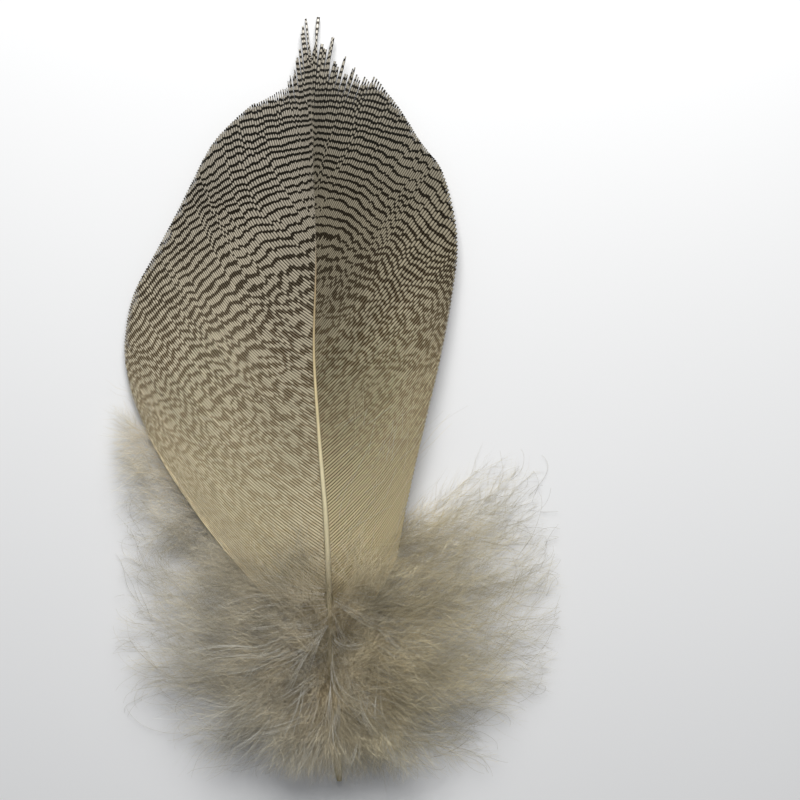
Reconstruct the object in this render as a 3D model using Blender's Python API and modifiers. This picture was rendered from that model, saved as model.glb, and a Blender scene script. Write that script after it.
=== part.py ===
"""A duck's flank feather, lying on its hollow side with its tip towards +Y.

The feather grew as one piece, so it is one solid: a quill and shaft, the two
vanes split into locks at their edges, and the down that stands out in locks
around the lower shaft. Sizes are in millimetres and turned into metres once.
"""
import math
import random
from dataclasses import dataclass

import bmesh
import bpy
from mathutils import Vector

MM = 0.001
WELD = 1e-7
SHARP_EDGE = math.radians(50.0)

# Shaft, seen from above: (y, x) keys from the quill's end to the last barb
SHAFT_LINE = [(-46.0, 0.2), (-36.0, -0.7), (-24.0, -0.9), (-14.0, -1.3),
              (-4.0, -2.1), (6.0, -2.7), (17.0, -2.5), (30.0, -2.9)]
SHAFT_RADIUS = [(-46.0, 0.30), (-44.5, 0.50), (-36.0, 0.50), (-24.0, 0.40), (-12.0, 0.32),
                (4.0, 0.25), (18.0, 0.20), (30.0, 0.16)]
SHAFT_RINGS = 34
SHAFT_ABOVE_VANE = 0.10

# The arch of the feather, hollow side down
ARCH_HEIGHT = 4.9
ARCH_TOP_Y = 2.0
ARCH_TO_QUILL = 0.00174
ARCH_TO_TIP = 0.00222
VANE_DROOP = 0.0075

# Vanes: for a barb's root on the shaft, where its tip ends on each side
ROOT_LOW = -30.0
ROOT_HIGH = 30.0
LEFT_TIP_X = [(-30.0, -22.6), (-24.0, -25.0), (-18.0, -25.6), (-12.0, -24.6), (-6.0, -21.6),
              (0.0, -19.0), (6.0, -17.4), (12.0, -15.6), (18.0, -10.6), (24.0, -6.4), (30.0, -3.8)]
LEFT_TIP_Y = [(-30.0, -4.6), (-24.0, 1.6), (-18.0, 7.2), (-12.0, 12.6), (-6.0, 17.6),
              (0.0, 21.6), (6.0, 26.6), (12.0, 31.0), (18.0, 35.4), (24.0, 38.6), (30.0, 46.5)]
RIGHT_TIP_X = [(-30.0, 7.2), (-24.0, 8.6), (-18.0, 10.4), (-12.0, 12.2), (-6.0, 13.6),
               (0.0, 14.3), (6.0, 12.6), (12.0, 9.8), (18.0, 7.0), (24.0, 2.6), (30.0, -3.8)]
RIGHT_TIP_Y = [(-30.0, -18.5), (-24.0, -11.0), (-18.0, -3.2), (-12.0, 4.6), (-6.0, 12.0),
               (0.0, 19.5), (6.0, 27.4), (12.0, 31.4), (18.0, 36.0), (24.0, 41.2), (30.0, 46.5)]
BARB_BOW = 0.05

VANE_THICKNESS = 0.36
VANE_LOCKS_A_SIDE = 12
VANE_STATIONS = 9
LOCK_RIDGE = 0.28
SPLIT_FROM = 0.83
SPLIT_SPREAD = 0.12
LOCK_GAP = 0.05
LOCK_TAPER = 0.22
TIP_RAGGED = 0.035

# Down: a place of 0 is a layer's lock nearest the tip, and 1 the one nearest the quill's end
DOWN_LENGTH = [(0.0, 25.0), (0.3, 30.0), (0.6, 27.5), (0.85, 19.5), (1.0, 10.0)]
DOWN_ANGLE = [(0.0, 64.0), (0.5, 82.0), (0.8, 98.0), (1.0, 122.0)]
DOWN_ANGLE_SPREAD = 6.0
DOWN_BEND = 34.0
DOWN_HALF_WIDTH = [(0.0, 0.9), (0.35, 1.9), (0.7, 1.6), (1.0, 0.3)]
DOWN_FLATNESS = 0.5
DOWN_UNEVEN = 0.35
DOWN_SIDES = 6
DOWN_STATIONS = 5
RIGHT_FULLER = 1.08
ROOT_PAST_MIDDLE = 0.25
SEED = 11

GROUND_DEPTH = 10.0


@dataclass(frozen=True)
class DownLayer:
    """One layer of locks on each side of the shaft, with its heights along a lock."""

    name: str
    locks: int
    root_top: float
    root_bottom: float
    reach: float
    heights: tuple
    turned: float = 0.0


DOWN_LAYERS = (
    DownLayer("lower", 8, -17.0, -39.5, 1.0, ((0.0, 2.2), (0.35, 0.75), (0.7, 0.55), (1.0, 0.5))),
    DownLayer("middle", 8, -18.6, -38.0, 0.95, ((0.0, 3.0), (0.35, 3.3), (0.7, 2.6), (1.0, 1.7))),
    DownLayer("upper", 6, -24.5, -37.5, 0.8, ((0.0, 3.6), (0.35, 5.6), (0.7, 5.3), (1.0, 3.9))),
    DownLayer("over_shaft", 4, -23.5, -35.5, 0.42, ((0.0, 3.9), (0.35, 5.9), (0.7, 6.3), (1.0, 5.6)),
              turned=-42.0),
)


def smooth(keys, at):
    """Value at a place on a smooth line through (place, value) keys."""
    at = min(max(at, keys[0][0]), keys[-1][0])
    last = len(keys) - 1
    i = next(k for k in range(last) if at <= keys[k + 1][0])

    def slope(k):
        """Slope of the line at a key, from its neighbours."""
        low, high = max(k - 1, 0), min(k + 1, last)
        return (keys[high][1] - keys[low][1]) / (keys[high][0] - keys[low][0])

    span = keys[i + 1][0] - keys[i][0]
    t = (at - keys[i][0]) / span
    return ((2 * t ** 3 - 3 * t ** 2 + 1) * keys[i][1] + (t ** 3 - 2 * t ** 2 + t) * span * slope(i)
            + (3 * t ** 2 - 2 * t ** 3) * keys[i + 1][1] + (t ** 3 - t ** 2) * span * slope(i + 1))


def arch(y):
    """Height of the vane's mid line above the surface."""
    fall = ARCH_TO_TIP if y > ARCH_TOP_Y else ARCH_TO_QUILL
    return ARCH_HEIGHT - fall * (y - ARCH_TOP_Y) ** 2


def on_vane(x, y):
    """Point of the arched vane above a place seen from above."""
    beside = x - smooth(SHAFT_LINE, y)
    return Vector((x, y, arch(y) - VANE_DROOP * beside ** 2))


def barb_point(left, root_y, along, reach=1.0):
    """Point of the barb that leaves the shaft at root_y, a share of its way along."""
    root = Vector((smooth(SHAFT_LINE, root_y), root_y))
    if left:
        tip = Vector((smooth(LEFT_TIP_X, root_y), smooth(LEFT_TIP_Y, root_y)))
    else:
        tip = Vector((smooth(RIGHT_TIP_X, root_y), smooth(RIGHT_TIP_Y, root_y)))
    way = (tip - root) * reach
    outward = Vector((-way.y, way.x)) if left else Vector((way.y, -way.x))
    flat = root + way * along + outward * (BARB_BOW * 4 * along * (1 - along))
    return on_vane(flat.x, flat.y)


def clear_scene():
    """Remove what the scene holds."""
    for obj in list(bpy.data.objects):
        bpy.data.objects.remove(obj)


def new_collection(name):
    """A collection of the scene."""
    collection = bpy.data.collections.new(name)
    bpy.context.scene.collection.children.link(collection)
    return collection


def shade_round(mesh):
    """Smooth shading, with the true edges left sharp."""
    mesh.shade_smooth()
    mesh.set_sharp_from_angle(angle=SHARP_EDGE)


def as_mesh(curve_object, collection):
    """The closed mesh of a curve, its caps welded, in place of the curve."""
    depsgraph = bpy.context.evaluated_depsgraph_get()
    mesh = bpy.data.meshes.new_from_object(curve_object.evaluated_get(depsgraph))
    welder = bmesh.new()
    welder.from_mesh(mesh)
    bmesh.ops.remove_doubles(welder, verts=welder.verts, dist=WELD)
    bmesh.ops.recalc_face_normals(welder, faces=welder.faces)
    welder.to_mesh(mesh)
    welder.free()
    shade_round(mesh)
    solid = bpy.data.objects.new(curve_object.name + "_solid", mesh)
    solid.matrix_world = curve_object.matrix_world
    collection.objects.link(solid)
    bpy.data.objects.remove(curve_object)
    solid.hide_render = True
    solid.display_type = "WIRE"
    return solid


def tube(name, points, radii, collection, profile=None):
    """A tapering tube through points in millimetres, round or with a profile's section."""
    curve = bpy.data.curves.new(name, "CURVE")
    curve.dimensions = "3D"
    curve.twist_mode = "Z_UP"
    curve.use_fill_caps = True
    if profile:
        curve.bevel_mode = "OBJECT"
        curve.bevel_object = profile
    else:
        curve.bevel_depth = MM
        curve.bevel_resolution = 2
    spline = curve.splines.new("POLY")
    spline.points.add(len(points) - 1)
    for target, point, radius in zip(spline.points, points, radii):
        target.co = (*(point * MM), 1.0)
        target.radius = radius
    obj = bpy.data.objects.new(name, curve)
    collection.objects.link(obj)
    bpy.context.view_layer.update()
    return as_mesh(obj, collection)


def make_shaft(collection):
    """The quill and the tapering shaft as one round tube along the arch."""
    points, radii = [], []
    for ring in range(SHAFT_RINGS + 1):
        y = SHAFT_LINE[0][0] + (SHAFT_LINE[-1][0] - SHAFT_LINE[0][0]) * ring / SHAFT_RINGS
        points.append(Vector((smooth(SHAFT_LINE, y), y, arch(y) + SHAFT_ABOVE_VANE)))
        radii.append(smooth(SHAFT_RADIUS, y))
    return tube("shaft", points, radii, collection)


def make_vanes(collection):
    """Both vanes as one ridged sheet, its rim split into locks."""
    dice = random.Random(SEED)
    sheet = bmesh.new()
    locks = 2 * VANE_LOCKS_A_SIDE
    step = (ROOT_HIGH - ROOT_LOW) / VANE_LOCKS_A_SIDE
    roots = {}

    def line(place):
        """Side and root of the barb at a place counted in locks around the vane."""
        left = place <= VANE_LOCKS_A_SIDE
        inward = place if left else locks - place
        return left, ROOT_LOW + step * inward

    def root_vertex(place):
        """The vertex on the shaft that the same barb of the left and right vane share."""
        left, root_y = line(place)
        key = round(root_y, 4)
        if key not in roots:
            roots[key] = sheet.verts.new(barb_point(left, root_y, 0.0) * MM)
        return roots[key]

    def shared_border(place, splits_at):
        """Vertices of a border line from the shaft to where its two locks part."""
        left, root_y = line(place)
        vertices = [root_vertex(place)]
        for station in range(1, splits_at + 1):
            point = barb_point(left, root_y, station / VANE_STATIONS)
            vertices.append(sheet.verts.new(point * MM))
        return vertices

    split_station = [round(VANE_STATIONS * (SPLIT_FROM + dice.uniform(-SPLIT_SPREAD, SPLIT_SPREAD)))
                     for _ in range(locks + 1)]
    borders = [shared_border(place, split_station[place]) for place in range(locks + 1)]

    for lock in range(locks):
        left, mid_root = line(lock + 0.5)
        reach = 1.0 + dice.uniform(-TIP_RAGGED, TIP_RAGGED / 3)
        ridge = [root_vertex(lock + 0.5)]
        for station in range(1, VANE_STATIONS + 1):
            along = station / VANE_STATIONS
            point = barb_point(left, mid_root, along, reach)
            rise = LOCK_RIDGE * min(1.0, 3 * along)
            ridge.append(sheet.verts.new((point + Vector((0, 0, rise))) * MM))
        for edge in (lock, lock + 1):
            edge_left, edge_root = line(edge)
            rim = list(borders[edge])
            first_free = len(rim)
            for station in range(first_free, VANE_STATIONS + 1):
                along = station / VANE_STATIONS
                free = (station - first_free + 1) / (VANE_STATIONS - first_free + 1)
                own = barb_point(edge_left, edge_root, along, reach)
                middle = barb_point(left, mid_root, along, reach)
                point = own.lerp(middle, LOCK_GAP + LOCK_TAPER * free ** 1.6)
                rim.append(sheet.verts.new(point * MM))
            for station in range(VANE_STATIONS):
                corners = [rim[station], rim[station + 1], ridge[station + 1], ridge[station]]
                if edge == lock:
                    corners.reverse()
                sheet.faces.new(corners)
    bmesh.ops.recalc_face_normals(sheet, faces=sheet.faces)
    mesh = bpy.data.meshes.new("feather")
    sheet.to_mesh(mesh)
    sheet.free()
    shade_round(mesh)
    vanes = bpy.data.objects.new("feather", mesh)
    collection.objects.link(vanes)
    wall = vanes.modifiers.new("wall", "SOLIDIFY")
    wall.thickness = VANE_THICKNESS * MM
    wall.offset = 0.0
    return vanes


def lock_profile(collection):
    """The flattened section that every lock of down is swept with."""
    curve = bpy.data.curves.new("lock_profile", "CURVE")
    curve.dimensions = "2D"
    spline = curve.splines.new("POLY")
    spline.points.add(DOWN_SIDES - 1)
    for number, target in enumerate(spline.points):
        turn = 2 * math.pi * number / DOWN_SIDES
        target.co = (math.cos(turn) * MM, math.sin(turn) * DOWN_FLATNESS * MM, 0.0, 1.0)
    spline.use_cyclic_u = True
    profile = bpy.data.objects.new("lock_profile", curve)
    profile.hide_render = True
    profile.display_type = "WIRE"
    collection.objects.link(profile)
    return profile


def down_path(left, place, layer, dice):
    """Points of one lock, from inside the shaft outwards and curling towards the tip."""
    root_y = layer.root_top + (layer.root_bottom - layer.root_top) * place
    length = smooth(DOWN_LENGTH, place) * layer.reach * dice.uniform(0.93, 1.0)
    if not left:
        length *= RIGHT_FULLER
    spread = dice.uniform(-DOWN_ANGLE_SPREAD, DOWN_ANGLE_SPREAD)
    heading = smooth(DOWN_ANGLE, place) + layer.turned + DOWN_BEND / 2 + spread
    lift = dice.uniform(-DOWN_UNEVEN, DOWN_UNEVEN)
    side = -1.0 if left else 1.0
    spot = Vector((smooth(SHAFT_LINE, root_y) - side * ROOT_PAST_MIDDLE, root_y, 0.0))
    points = []
    for station in range(DOWN_STATIONS + 1):
        along = station / DOWN_STATIONS
        points.append(Vector((spot.x, spot.y, smooth(layer.heights, along) + lift * along)))
        turn = math.radians(heading - DOWN_BEND * along)
        spot += Vector((side * math.sin(turn), math.cos(turn), 0.0)) * (length / DOWN_STATIONS)
    points[0].z = arch(root_y)
    return points


def make_down(collection):
    """The locks of down, in layers on each side of the shaft."""
    dice = random.Random(SEED + 1)
    profile = lock_profile(collection)
    for layer in DOWN_LAYERS:
        for left in (True, False):
            for number in range(layer.locks):
                place = (number + (0.0 if left else 0.35)) / (layer.locks - 0.65)
                name = f"down_{layer.name}_{'left' if left else 'right'}_{number}"
                points = down_path(left, place, layer, dice)
                fullness = dice.uniform(0.86, 1.08)
                radii = [smooth(DOWN_HALF_WIDTH, station / DOWN_STATIONS) * fullness
                         for station in range(DOWN_STATIONS + 1)]
                tube(name, points, radii, collection, profile)
    bpy.data.objects.remove(profile)


def make_ground(collection):
    """The block that trims the lowest locks flat where they lie on the surface."""
    size = Vector((100.0, 120.0, GROUND_DEPTH))
    bpy.ops.mesh.primitive_cube_add(size=1.0, location=(0.0, 0.0, -GROUND_DEPTH / 2 * MM))
    ground = bpy.context.object
    ground.name = "ground"
    ground.scale = size * MM
    bpy.ops.object.transform_apply(location=False, rotation=False, scale=True)
    ground.hide_render = True
    ground.display_type = "WIRE"
    for holder in list(ground.users_collection):
        holder.objects.unlink(ground)
    collection.objects.link(ground)
    return ground


def feather_material():
    """Warm grey keratin, dull."""
    material = bpy.data.materials.new("feather")
    material.use_nodes = True
    shader = material.node_tree.nodes["Principled BSDF"]
    shader.inputs["Base Color"].default_value = (0.33, 0.29, 0.22, 1.0)
    shader.inputs["Roughness"].default_value = 0.62
    shader.inputs["Metallic"].default_value = 0.0
    return material


def main():
    """Build the feather: vanes, then shaft and down fused to them, then the flat underside."""
    clear_scene()
    parts = new_collection("duck_flank_feather")
    fused = new_collection("fused_to_the_vanes")
    cutters = new_collection("cutters")
    feather = make_vanes(parts)
    make_shaft(fused)
    make_down(fused)
    ground = make_ground(cutters)
    join = feather.modifiers.new("join", "BOOLEAN")
    join.operation = "UNION"
    join.operand_type = "COLLECTION"
    join.collection = fused
    trim = feather.modifiers.new("trim", "BOOLEAN")
    trim.operation = "DIFFERENCE"
    trim.object = ground
    feather.data.materials.append(feather_material())


main()
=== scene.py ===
"""The looks of a duck's flank feather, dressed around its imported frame.

The feather lies on its hollow side with its tip towards +Y. Each vane is swept
barb by barb, every barb a ridged strip that carries its share of the fine wavy
bars, and the down is thousands of thin barbules on loose, curling barbs. Sizes
are in millimetres and become metres once, where a mesh or a node gets them.
"""
import logging
import math
import random
from collections.abc import Callable, Mapping
from dataclasses import dataclass, field, replace
from enum import Enum

import bmesh
import bpy
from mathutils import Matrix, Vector, noise

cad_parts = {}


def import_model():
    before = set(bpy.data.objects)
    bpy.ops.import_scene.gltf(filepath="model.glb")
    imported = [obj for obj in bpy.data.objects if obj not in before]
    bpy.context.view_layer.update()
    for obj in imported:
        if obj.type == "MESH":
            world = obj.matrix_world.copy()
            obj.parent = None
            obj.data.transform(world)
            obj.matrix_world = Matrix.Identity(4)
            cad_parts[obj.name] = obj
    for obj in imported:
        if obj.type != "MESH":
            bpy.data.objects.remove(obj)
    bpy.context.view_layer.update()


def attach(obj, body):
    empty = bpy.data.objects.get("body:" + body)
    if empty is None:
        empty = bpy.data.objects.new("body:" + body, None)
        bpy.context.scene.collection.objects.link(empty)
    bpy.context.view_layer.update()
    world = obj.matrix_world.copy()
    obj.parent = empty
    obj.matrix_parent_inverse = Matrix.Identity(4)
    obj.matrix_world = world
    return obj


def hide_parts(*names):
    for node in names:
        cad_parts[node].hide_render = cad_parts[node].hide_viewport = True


log = logging.getLogger("feather")

Keys = tuple[tuple[float, float], ...]
Span = tuple[float, float]
Fade = tuple[float, float, float, float]
Plan = tuple[float, float, float, float]
Colour = tuple[float, float, float]
Stops = tuple[tuple[float, Colour], ...]
Socket = bpy.types.NodeSocket
Sockets = bpy.types.NodeOutputs

MM = 0.001
BODY = "root"
NODE = "feather"
UP = Vector((0.0, 0.0, 1.0))
WORKING_VALUES = ("spine", "across", "rise", "section", "pattern", "barbule")
TRACKS: Span = (0, 90)
TRACK_STEP = 7.31
NOISE_OFFSET: Span = (0.5, 3.7)
NOISE_GAIN = 1.6


class Slot(Enum):
    """The record's material slots."""

    VANE = "vane"
    SHAFT = "shaft"
    DOWN = "down"


class Side(Enum):
    """The two sides of the shaft, with the sign of X on each."""

    LEFT = -1
    RIGHT = 1


# Smooth lines and the feather's form


def clamp(value: float, low: float = 0.0, high: float = 1.0) -> float:
    """A value held between two others."""
    return min(max(value, low), high)


def smooth(keys: Keys, at: float) -> float:
    """Read a smooth line through keys, as the CAD does.

    Args:
        keys: (place, value) pairs in rising order.
        at: The place to read, held inside the keys.

    Returns:
        The value there.
    """
    at = clamp(at, keys[0][0], keys[-1][0])
    last = len(keys) - 1
    i = next(k for k in range(last) if at <= keys[k + 1][0])

    def slope(k: int) -> float:
        """Slope of the line at a key, from its neighbours."""
        low, high = max(k - 1, 0), min(k + 1, last)
        return (keys[high][1] - keys[low][1]) / (keys[high][0] - keys[low][0])

    span = keys[i + 1][0] - keys[i][0]
    t = (at - keys[i][0]) / span
    return ((2 * t ** 3 - 3 * t ** 2 + 1) * keys[i][1] + (t ** 3 - 2 * t ** 2 + t) * span * slope(i)
            + (3 * t ** 2 - 2 * t ** 3) * keys[i + 1][1] + (t ** 3 - t ** 2) * span * slope(i + 1))


def wander(place: float, track: float) -> float:
    """A smooth wandering value between about -1 and 1, the same on every run."""
    aside, above = NOISE_OFFSET
    return NOISE_GAIN * noise.noise(Vector((place, TRACK_STEP * track + aside, above)))


@dataclass(frozen=True)
class FeatherForm:
    """The measured form of the feather, with the CAD's values and a smoother run of the barbs."""

    shaft_line: Keys = ((-46, 0.2), (-36, -0.7), (-24, -0.9), (-14, -1.3),
                        (-4, -2.1), (6, -2.7), (17, -2.5), (30, -2.9))
    arch_height: float = 4.9
    arch_top: float = 2.0
    arch_to_quill: float = 0.00174
    arch_to_tip: float = 0.00222
    droop: float = 0.0075
    root_low: float = -30.0
    root_high: float = 30.0
    left_tip_x: Keys = ((-30, -22.6), (-24, -25), (-18, -25.6), (-12, -24.6),
                        (-6, -22.1), (0, -19.7), (6, -17.2), (12, -14.7),
                        (18, -10.6), (24, -6.4), (30, -3.8))
    left_tip_y: Keys = ((-30, -4.6), (-24, 1.6), (-18, 7.2), (-12, 12.6),
                        (-6, 17.4), (0, 21.8), (6, 26.8), (12, 31.4),
                        (18, 35.4), (24, 38.6), (30, 46.5))
    right_tip_x: Keys = ((-30, 7.2), (-24, 8.6), (-18, 10.4), (-12, 12.2),
                         (-6, 13.6), (0, 14.3), (6, 12.6), (12, 9.8),
                         (18, 7), (24, 2.6), (30, -2.7))
    right_tip_y: Keys = ((-30, -18.5), (-24, -11), (-18, -3.2), (-12, 4.6),
                         (-6, 12), (0, 19.5), (6, 27.4), (12, 31.4),
                         (18, 36), (24, 41.2), (30, 46.5))
    left_bow: Keys = ((-30, 0.05), (-10, 0.06), (6, 0.10), (14, 0.10), (21, 0.05), (30, -0.02))
    right_bow: Keys = ((-30, 0.05), (-10, 0.04), (4, 0.015), (18, 0.01), (30, -0.02))

    def shaft_x(self, y: float) -> float:
        """X of the shaft's middle at a place along it."""
        return smooth(self.shaft_line, y)

    def arch(self, y: float) -> float:
        """Height of the vane's mid line above the surface."""
        fall = self.arch_to_tip if y > self.arch_top else self.arch_to_quill
        return self.arch_height - fall * (y - self.arch_top) ** 2

    def on_vane(self, x: float, y: float) -> Vector:
        """Point of the arched vane above a place seen from above."""
        return Vector((x, y, self.arch(y) - self.droop * (x - self.shaft_x(y)) ** 2))

    def barb_plan(self, side: Side, root_y: float, along: float, reach: float = 1.0) -> Vector:
        """Place a point of a barb, seen from above.

        Args:
            side: The vane that the barb is in.
            root_y: Where the barb leaves the shaft.
            along: The share of its way to the tip.
            reach: Its length as a share of the full one.

        Returns:
            X and Y of the point.
        """
        tip_x, tip_y, bow = ((self.left_tip_x, self.left_tip_y, self.left_bow) if side is Side.LEFT
                             else (self.right_tip_x, self.right_tip_y, self.right_bow))
        root = Vector((self.shaft_x(root_y), root_y))
        way = (Vector((smooth(tip_x, root_y), smooth(tip_y, root_y))) - root) * reach
        outward = Vector((way.y, -way.x)) * side.value
        return root + way * along + outward * (smooth(bow, root_y) * 4 * along * (1 - along))


FORM = FeatherForm()


# Node trees and what they grow


class NodeBench:
    """A node tree on the bench, with short ways to place, set and join its nodes."""

    def __init__(self, tree: bpy.types.NodeTree) -> None:
        """Take a tree to work on."""
        self.tree = tree

    def place(self, kind: str, inputs: Mapping[str | int, object] | None = None,
              **settings: object) -> bpy.types.Node:
        """Place a node.

        Args:
            kind: The node's type.
            inputs: A value or a socket for each input, by name or number.
            settings: The node's own settings.

        Returns:
            The node.
        """
        node = self.tree.nodes.new(kind)
        for name, value in settings.items():
            setattr(node, name, value)
        for key, value in (inputs or {}).items():
            if isinstance(value, Socket):
                self.tree.links.new(value, node.inputs[key])
            else:
                node.inputs[key].default_value = value
        return node

    def math(self, operation: str, *values: object) -> Socket:
        """The result of a Math node on values or sockets."""
        return self.place("ShaderNodeMath", dict(enumerate(values)), operation=operation).outputs[0]

    def times(self, *values: object) -> Socket:
        """The product of two values or sockets."""
        return self.math("MULTIPLY", *values)

    def less(self, *values: object) -> Socket:
        """A value or socket less another."""
        return self.math("SUBTRACT", *values)

    def vector(self, operation: str, *values: object) -> Socket:
        """The vector result of a Vector Math node on values or sockets."""
        node = self.place("ShaderNodeVectorMath", dict(enumerate(values)), operation=operation)
        return node.outputs[0]

    def scaled(self, vector: object, scale: object) -> Socket:
        """A vector or colour times a number."""
        node = self.place("ShaderNodeVectorMath", {0: vector, "Scale": scale}, operation="SCALE")
        return node.outputs[0]

    def split(self, vector: Socket) -> Sockets:
        """The three parts of a vector."""
        return self.place("ShaderNodeSeparateXYZ", {0: vector}).outputs

    def combined(self, *parts: object) -> Socket:
        """A vector from its parts."""
        return self.place("ShaderNodeCombineXYZ", dict(enumerate(parts))).outputs[0]

    def named(self, name: str, data_type: str = "FLOAT") -> Socket:
        """A named value that the geometry carries."""
        node = self.place("GeometryNodeInputNamedAttribute", {"Name": name}, data_type=data_type)
        return node.outputs[0]

    def shown(self, name: str) -> Socket:
        """A named value of the geometry, in a material."""
        return self.place("ShaderNodeAttribute", attribute_name=name).outputs["Fac"]

    def on_barb(self) -> Sockets:
        """The pattern's place along the barb and the place across it, in a material."""
        return self.split(self.place("ShaderNodeUVMap", uv_map="barb").outputs[0])

    def spot(self) -> Socket:
        """The point on the object, in a material."""
        return self.place("ShaderNodeTexCoord").outputs["Object"]

    def grain(self, place: Socket, scale: object, detail: float) -> Sockets:
        """The value and the colour of a noise."""
        inputs = {"Vector": place, "Scale": scale, "Detail": detail}
        return self.place("ShaderNodeTexNoise", inputs).outputs

    def range(self, value: object, low: float, high: float, to_low: float = 0.0,
              to_high: float = 1.0, kind: str = "SMOOTHSTEP") -> Socket:
        """A value taken from one range to another, with soft ends or straight."""
        inputs = {"Value": value, "From Min": low, "From Max": high,
                  "To Min": to_low, "To Max": to_high}
        return self.place("ShaderNodeMapRange", inputs, interpolation_type=kind).outputs[0]

    def along(self, low: float, high: float) -> Socket:
        """How far along the feather a point is, 0 at one Y in millimetres and 1 at another."""
        return self.range(self.split(self.spot())[1], low * MM, high * MM, kind="LINEAR")

    def mix(self, share: Socket, first: Socket, second: Socket) -> Socket:
        """Two colours mixed by a share."""
        node = self.place("ShaderNodeMix", {0: share, 6: first, 7: second}, data_type="RGBA")
        return node.outputs[2]

    def ramp(self, value: Socket, stops: Stops) -> Socket:
        """Read a colour from stops.

        Args:
            value: The place to read, from 0 to 1.
            stops: The place and colour of each stop.

        Returns:
            The colour.
        """
        node = self.place("ShaderNodeValToRGB", {0: value})
        elements = node.color_ramp.elements
        while len(elements) < len(stops):
            elements.new(0.5)
        for element, (position, colour) in zip(elements, stops):
            element.position = position
            element.color = (*colour, 1.0)
        return node.outputs[0]


def in_scene(name: str, data: bpy.types.ID) -> bpy.types.Object:
    """Put an object in the scene.

    Args:
        name: The object's name.
        data: The mesh, lamp or camera that it holds.

    Returns:
        The object.
    """
    made = bpy.data.objects.new(name, data)
    bpy.context.scene.collection.objects.link(made)
    return made


class GuideLines:
    """Lines of points with named values, kept as one mesh that a node tree follows."""

    def __init__(self) -> None:
        """Start with no line."""
        self.points: list[Vector] = []
        self.edges: list[tuple[int, int]] = []
        self.values: dict[str, list] = {}

    def take(self, points: list[Vector], edges: list[tuple[int, int]],
             values: dict[str, list]) -> None:
        """Take in points.

        Args:
            points: The points.
            edges: The pairs of them that are joined.
            values: A list of numbers or vectors for each named value.
        """
        first = len(self.points)
        self.points += points
        self.edges += [(first + a, first + b) for a, b in edges]
        for name, numbers in values.items():
            self.values.setdefault(name, []).extend(numbers)

    def add(self, points: list[Vector], **values: list) -> None:
        """Add a line, with a list of numbers or vectors for each named value."""
        self.take(points, [(i, i + 1) for i in range(len(points) - 1)], {"spine": points} | values)

    def join(self, other: "GuideLines") -> None:
        """Take in another bundle's lines."""
        self.take(other.points, other.edges, other.values)

    def as_object(self, name: str) -> bpy.types.Object:
        """Make the object that holds the lines, in metres.

        Args:
            name: The object's name.

        Returns:
            An object of points and edges.
        """
        mesh = bpy.data.meshes.new(name)
        mesh.from_pydata([point * MM for point in self.points], self.edges, [])
        for key, numbers in self.values.items():
            if isinstance(numbers[0], Vector):
                layer = mesh.attributes.new(key, "FLOAT_VECTOR", "POINT")
                flat = [part * MM for vector in numbers for part in vector]
                layer.data.foreach_set("vector", flat)
            else:
                mesh.attributes.new(key, "FLOAT", "POINT").data.foreach_set("value", numbers)
        return in_scene(name, mesh)


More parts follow.
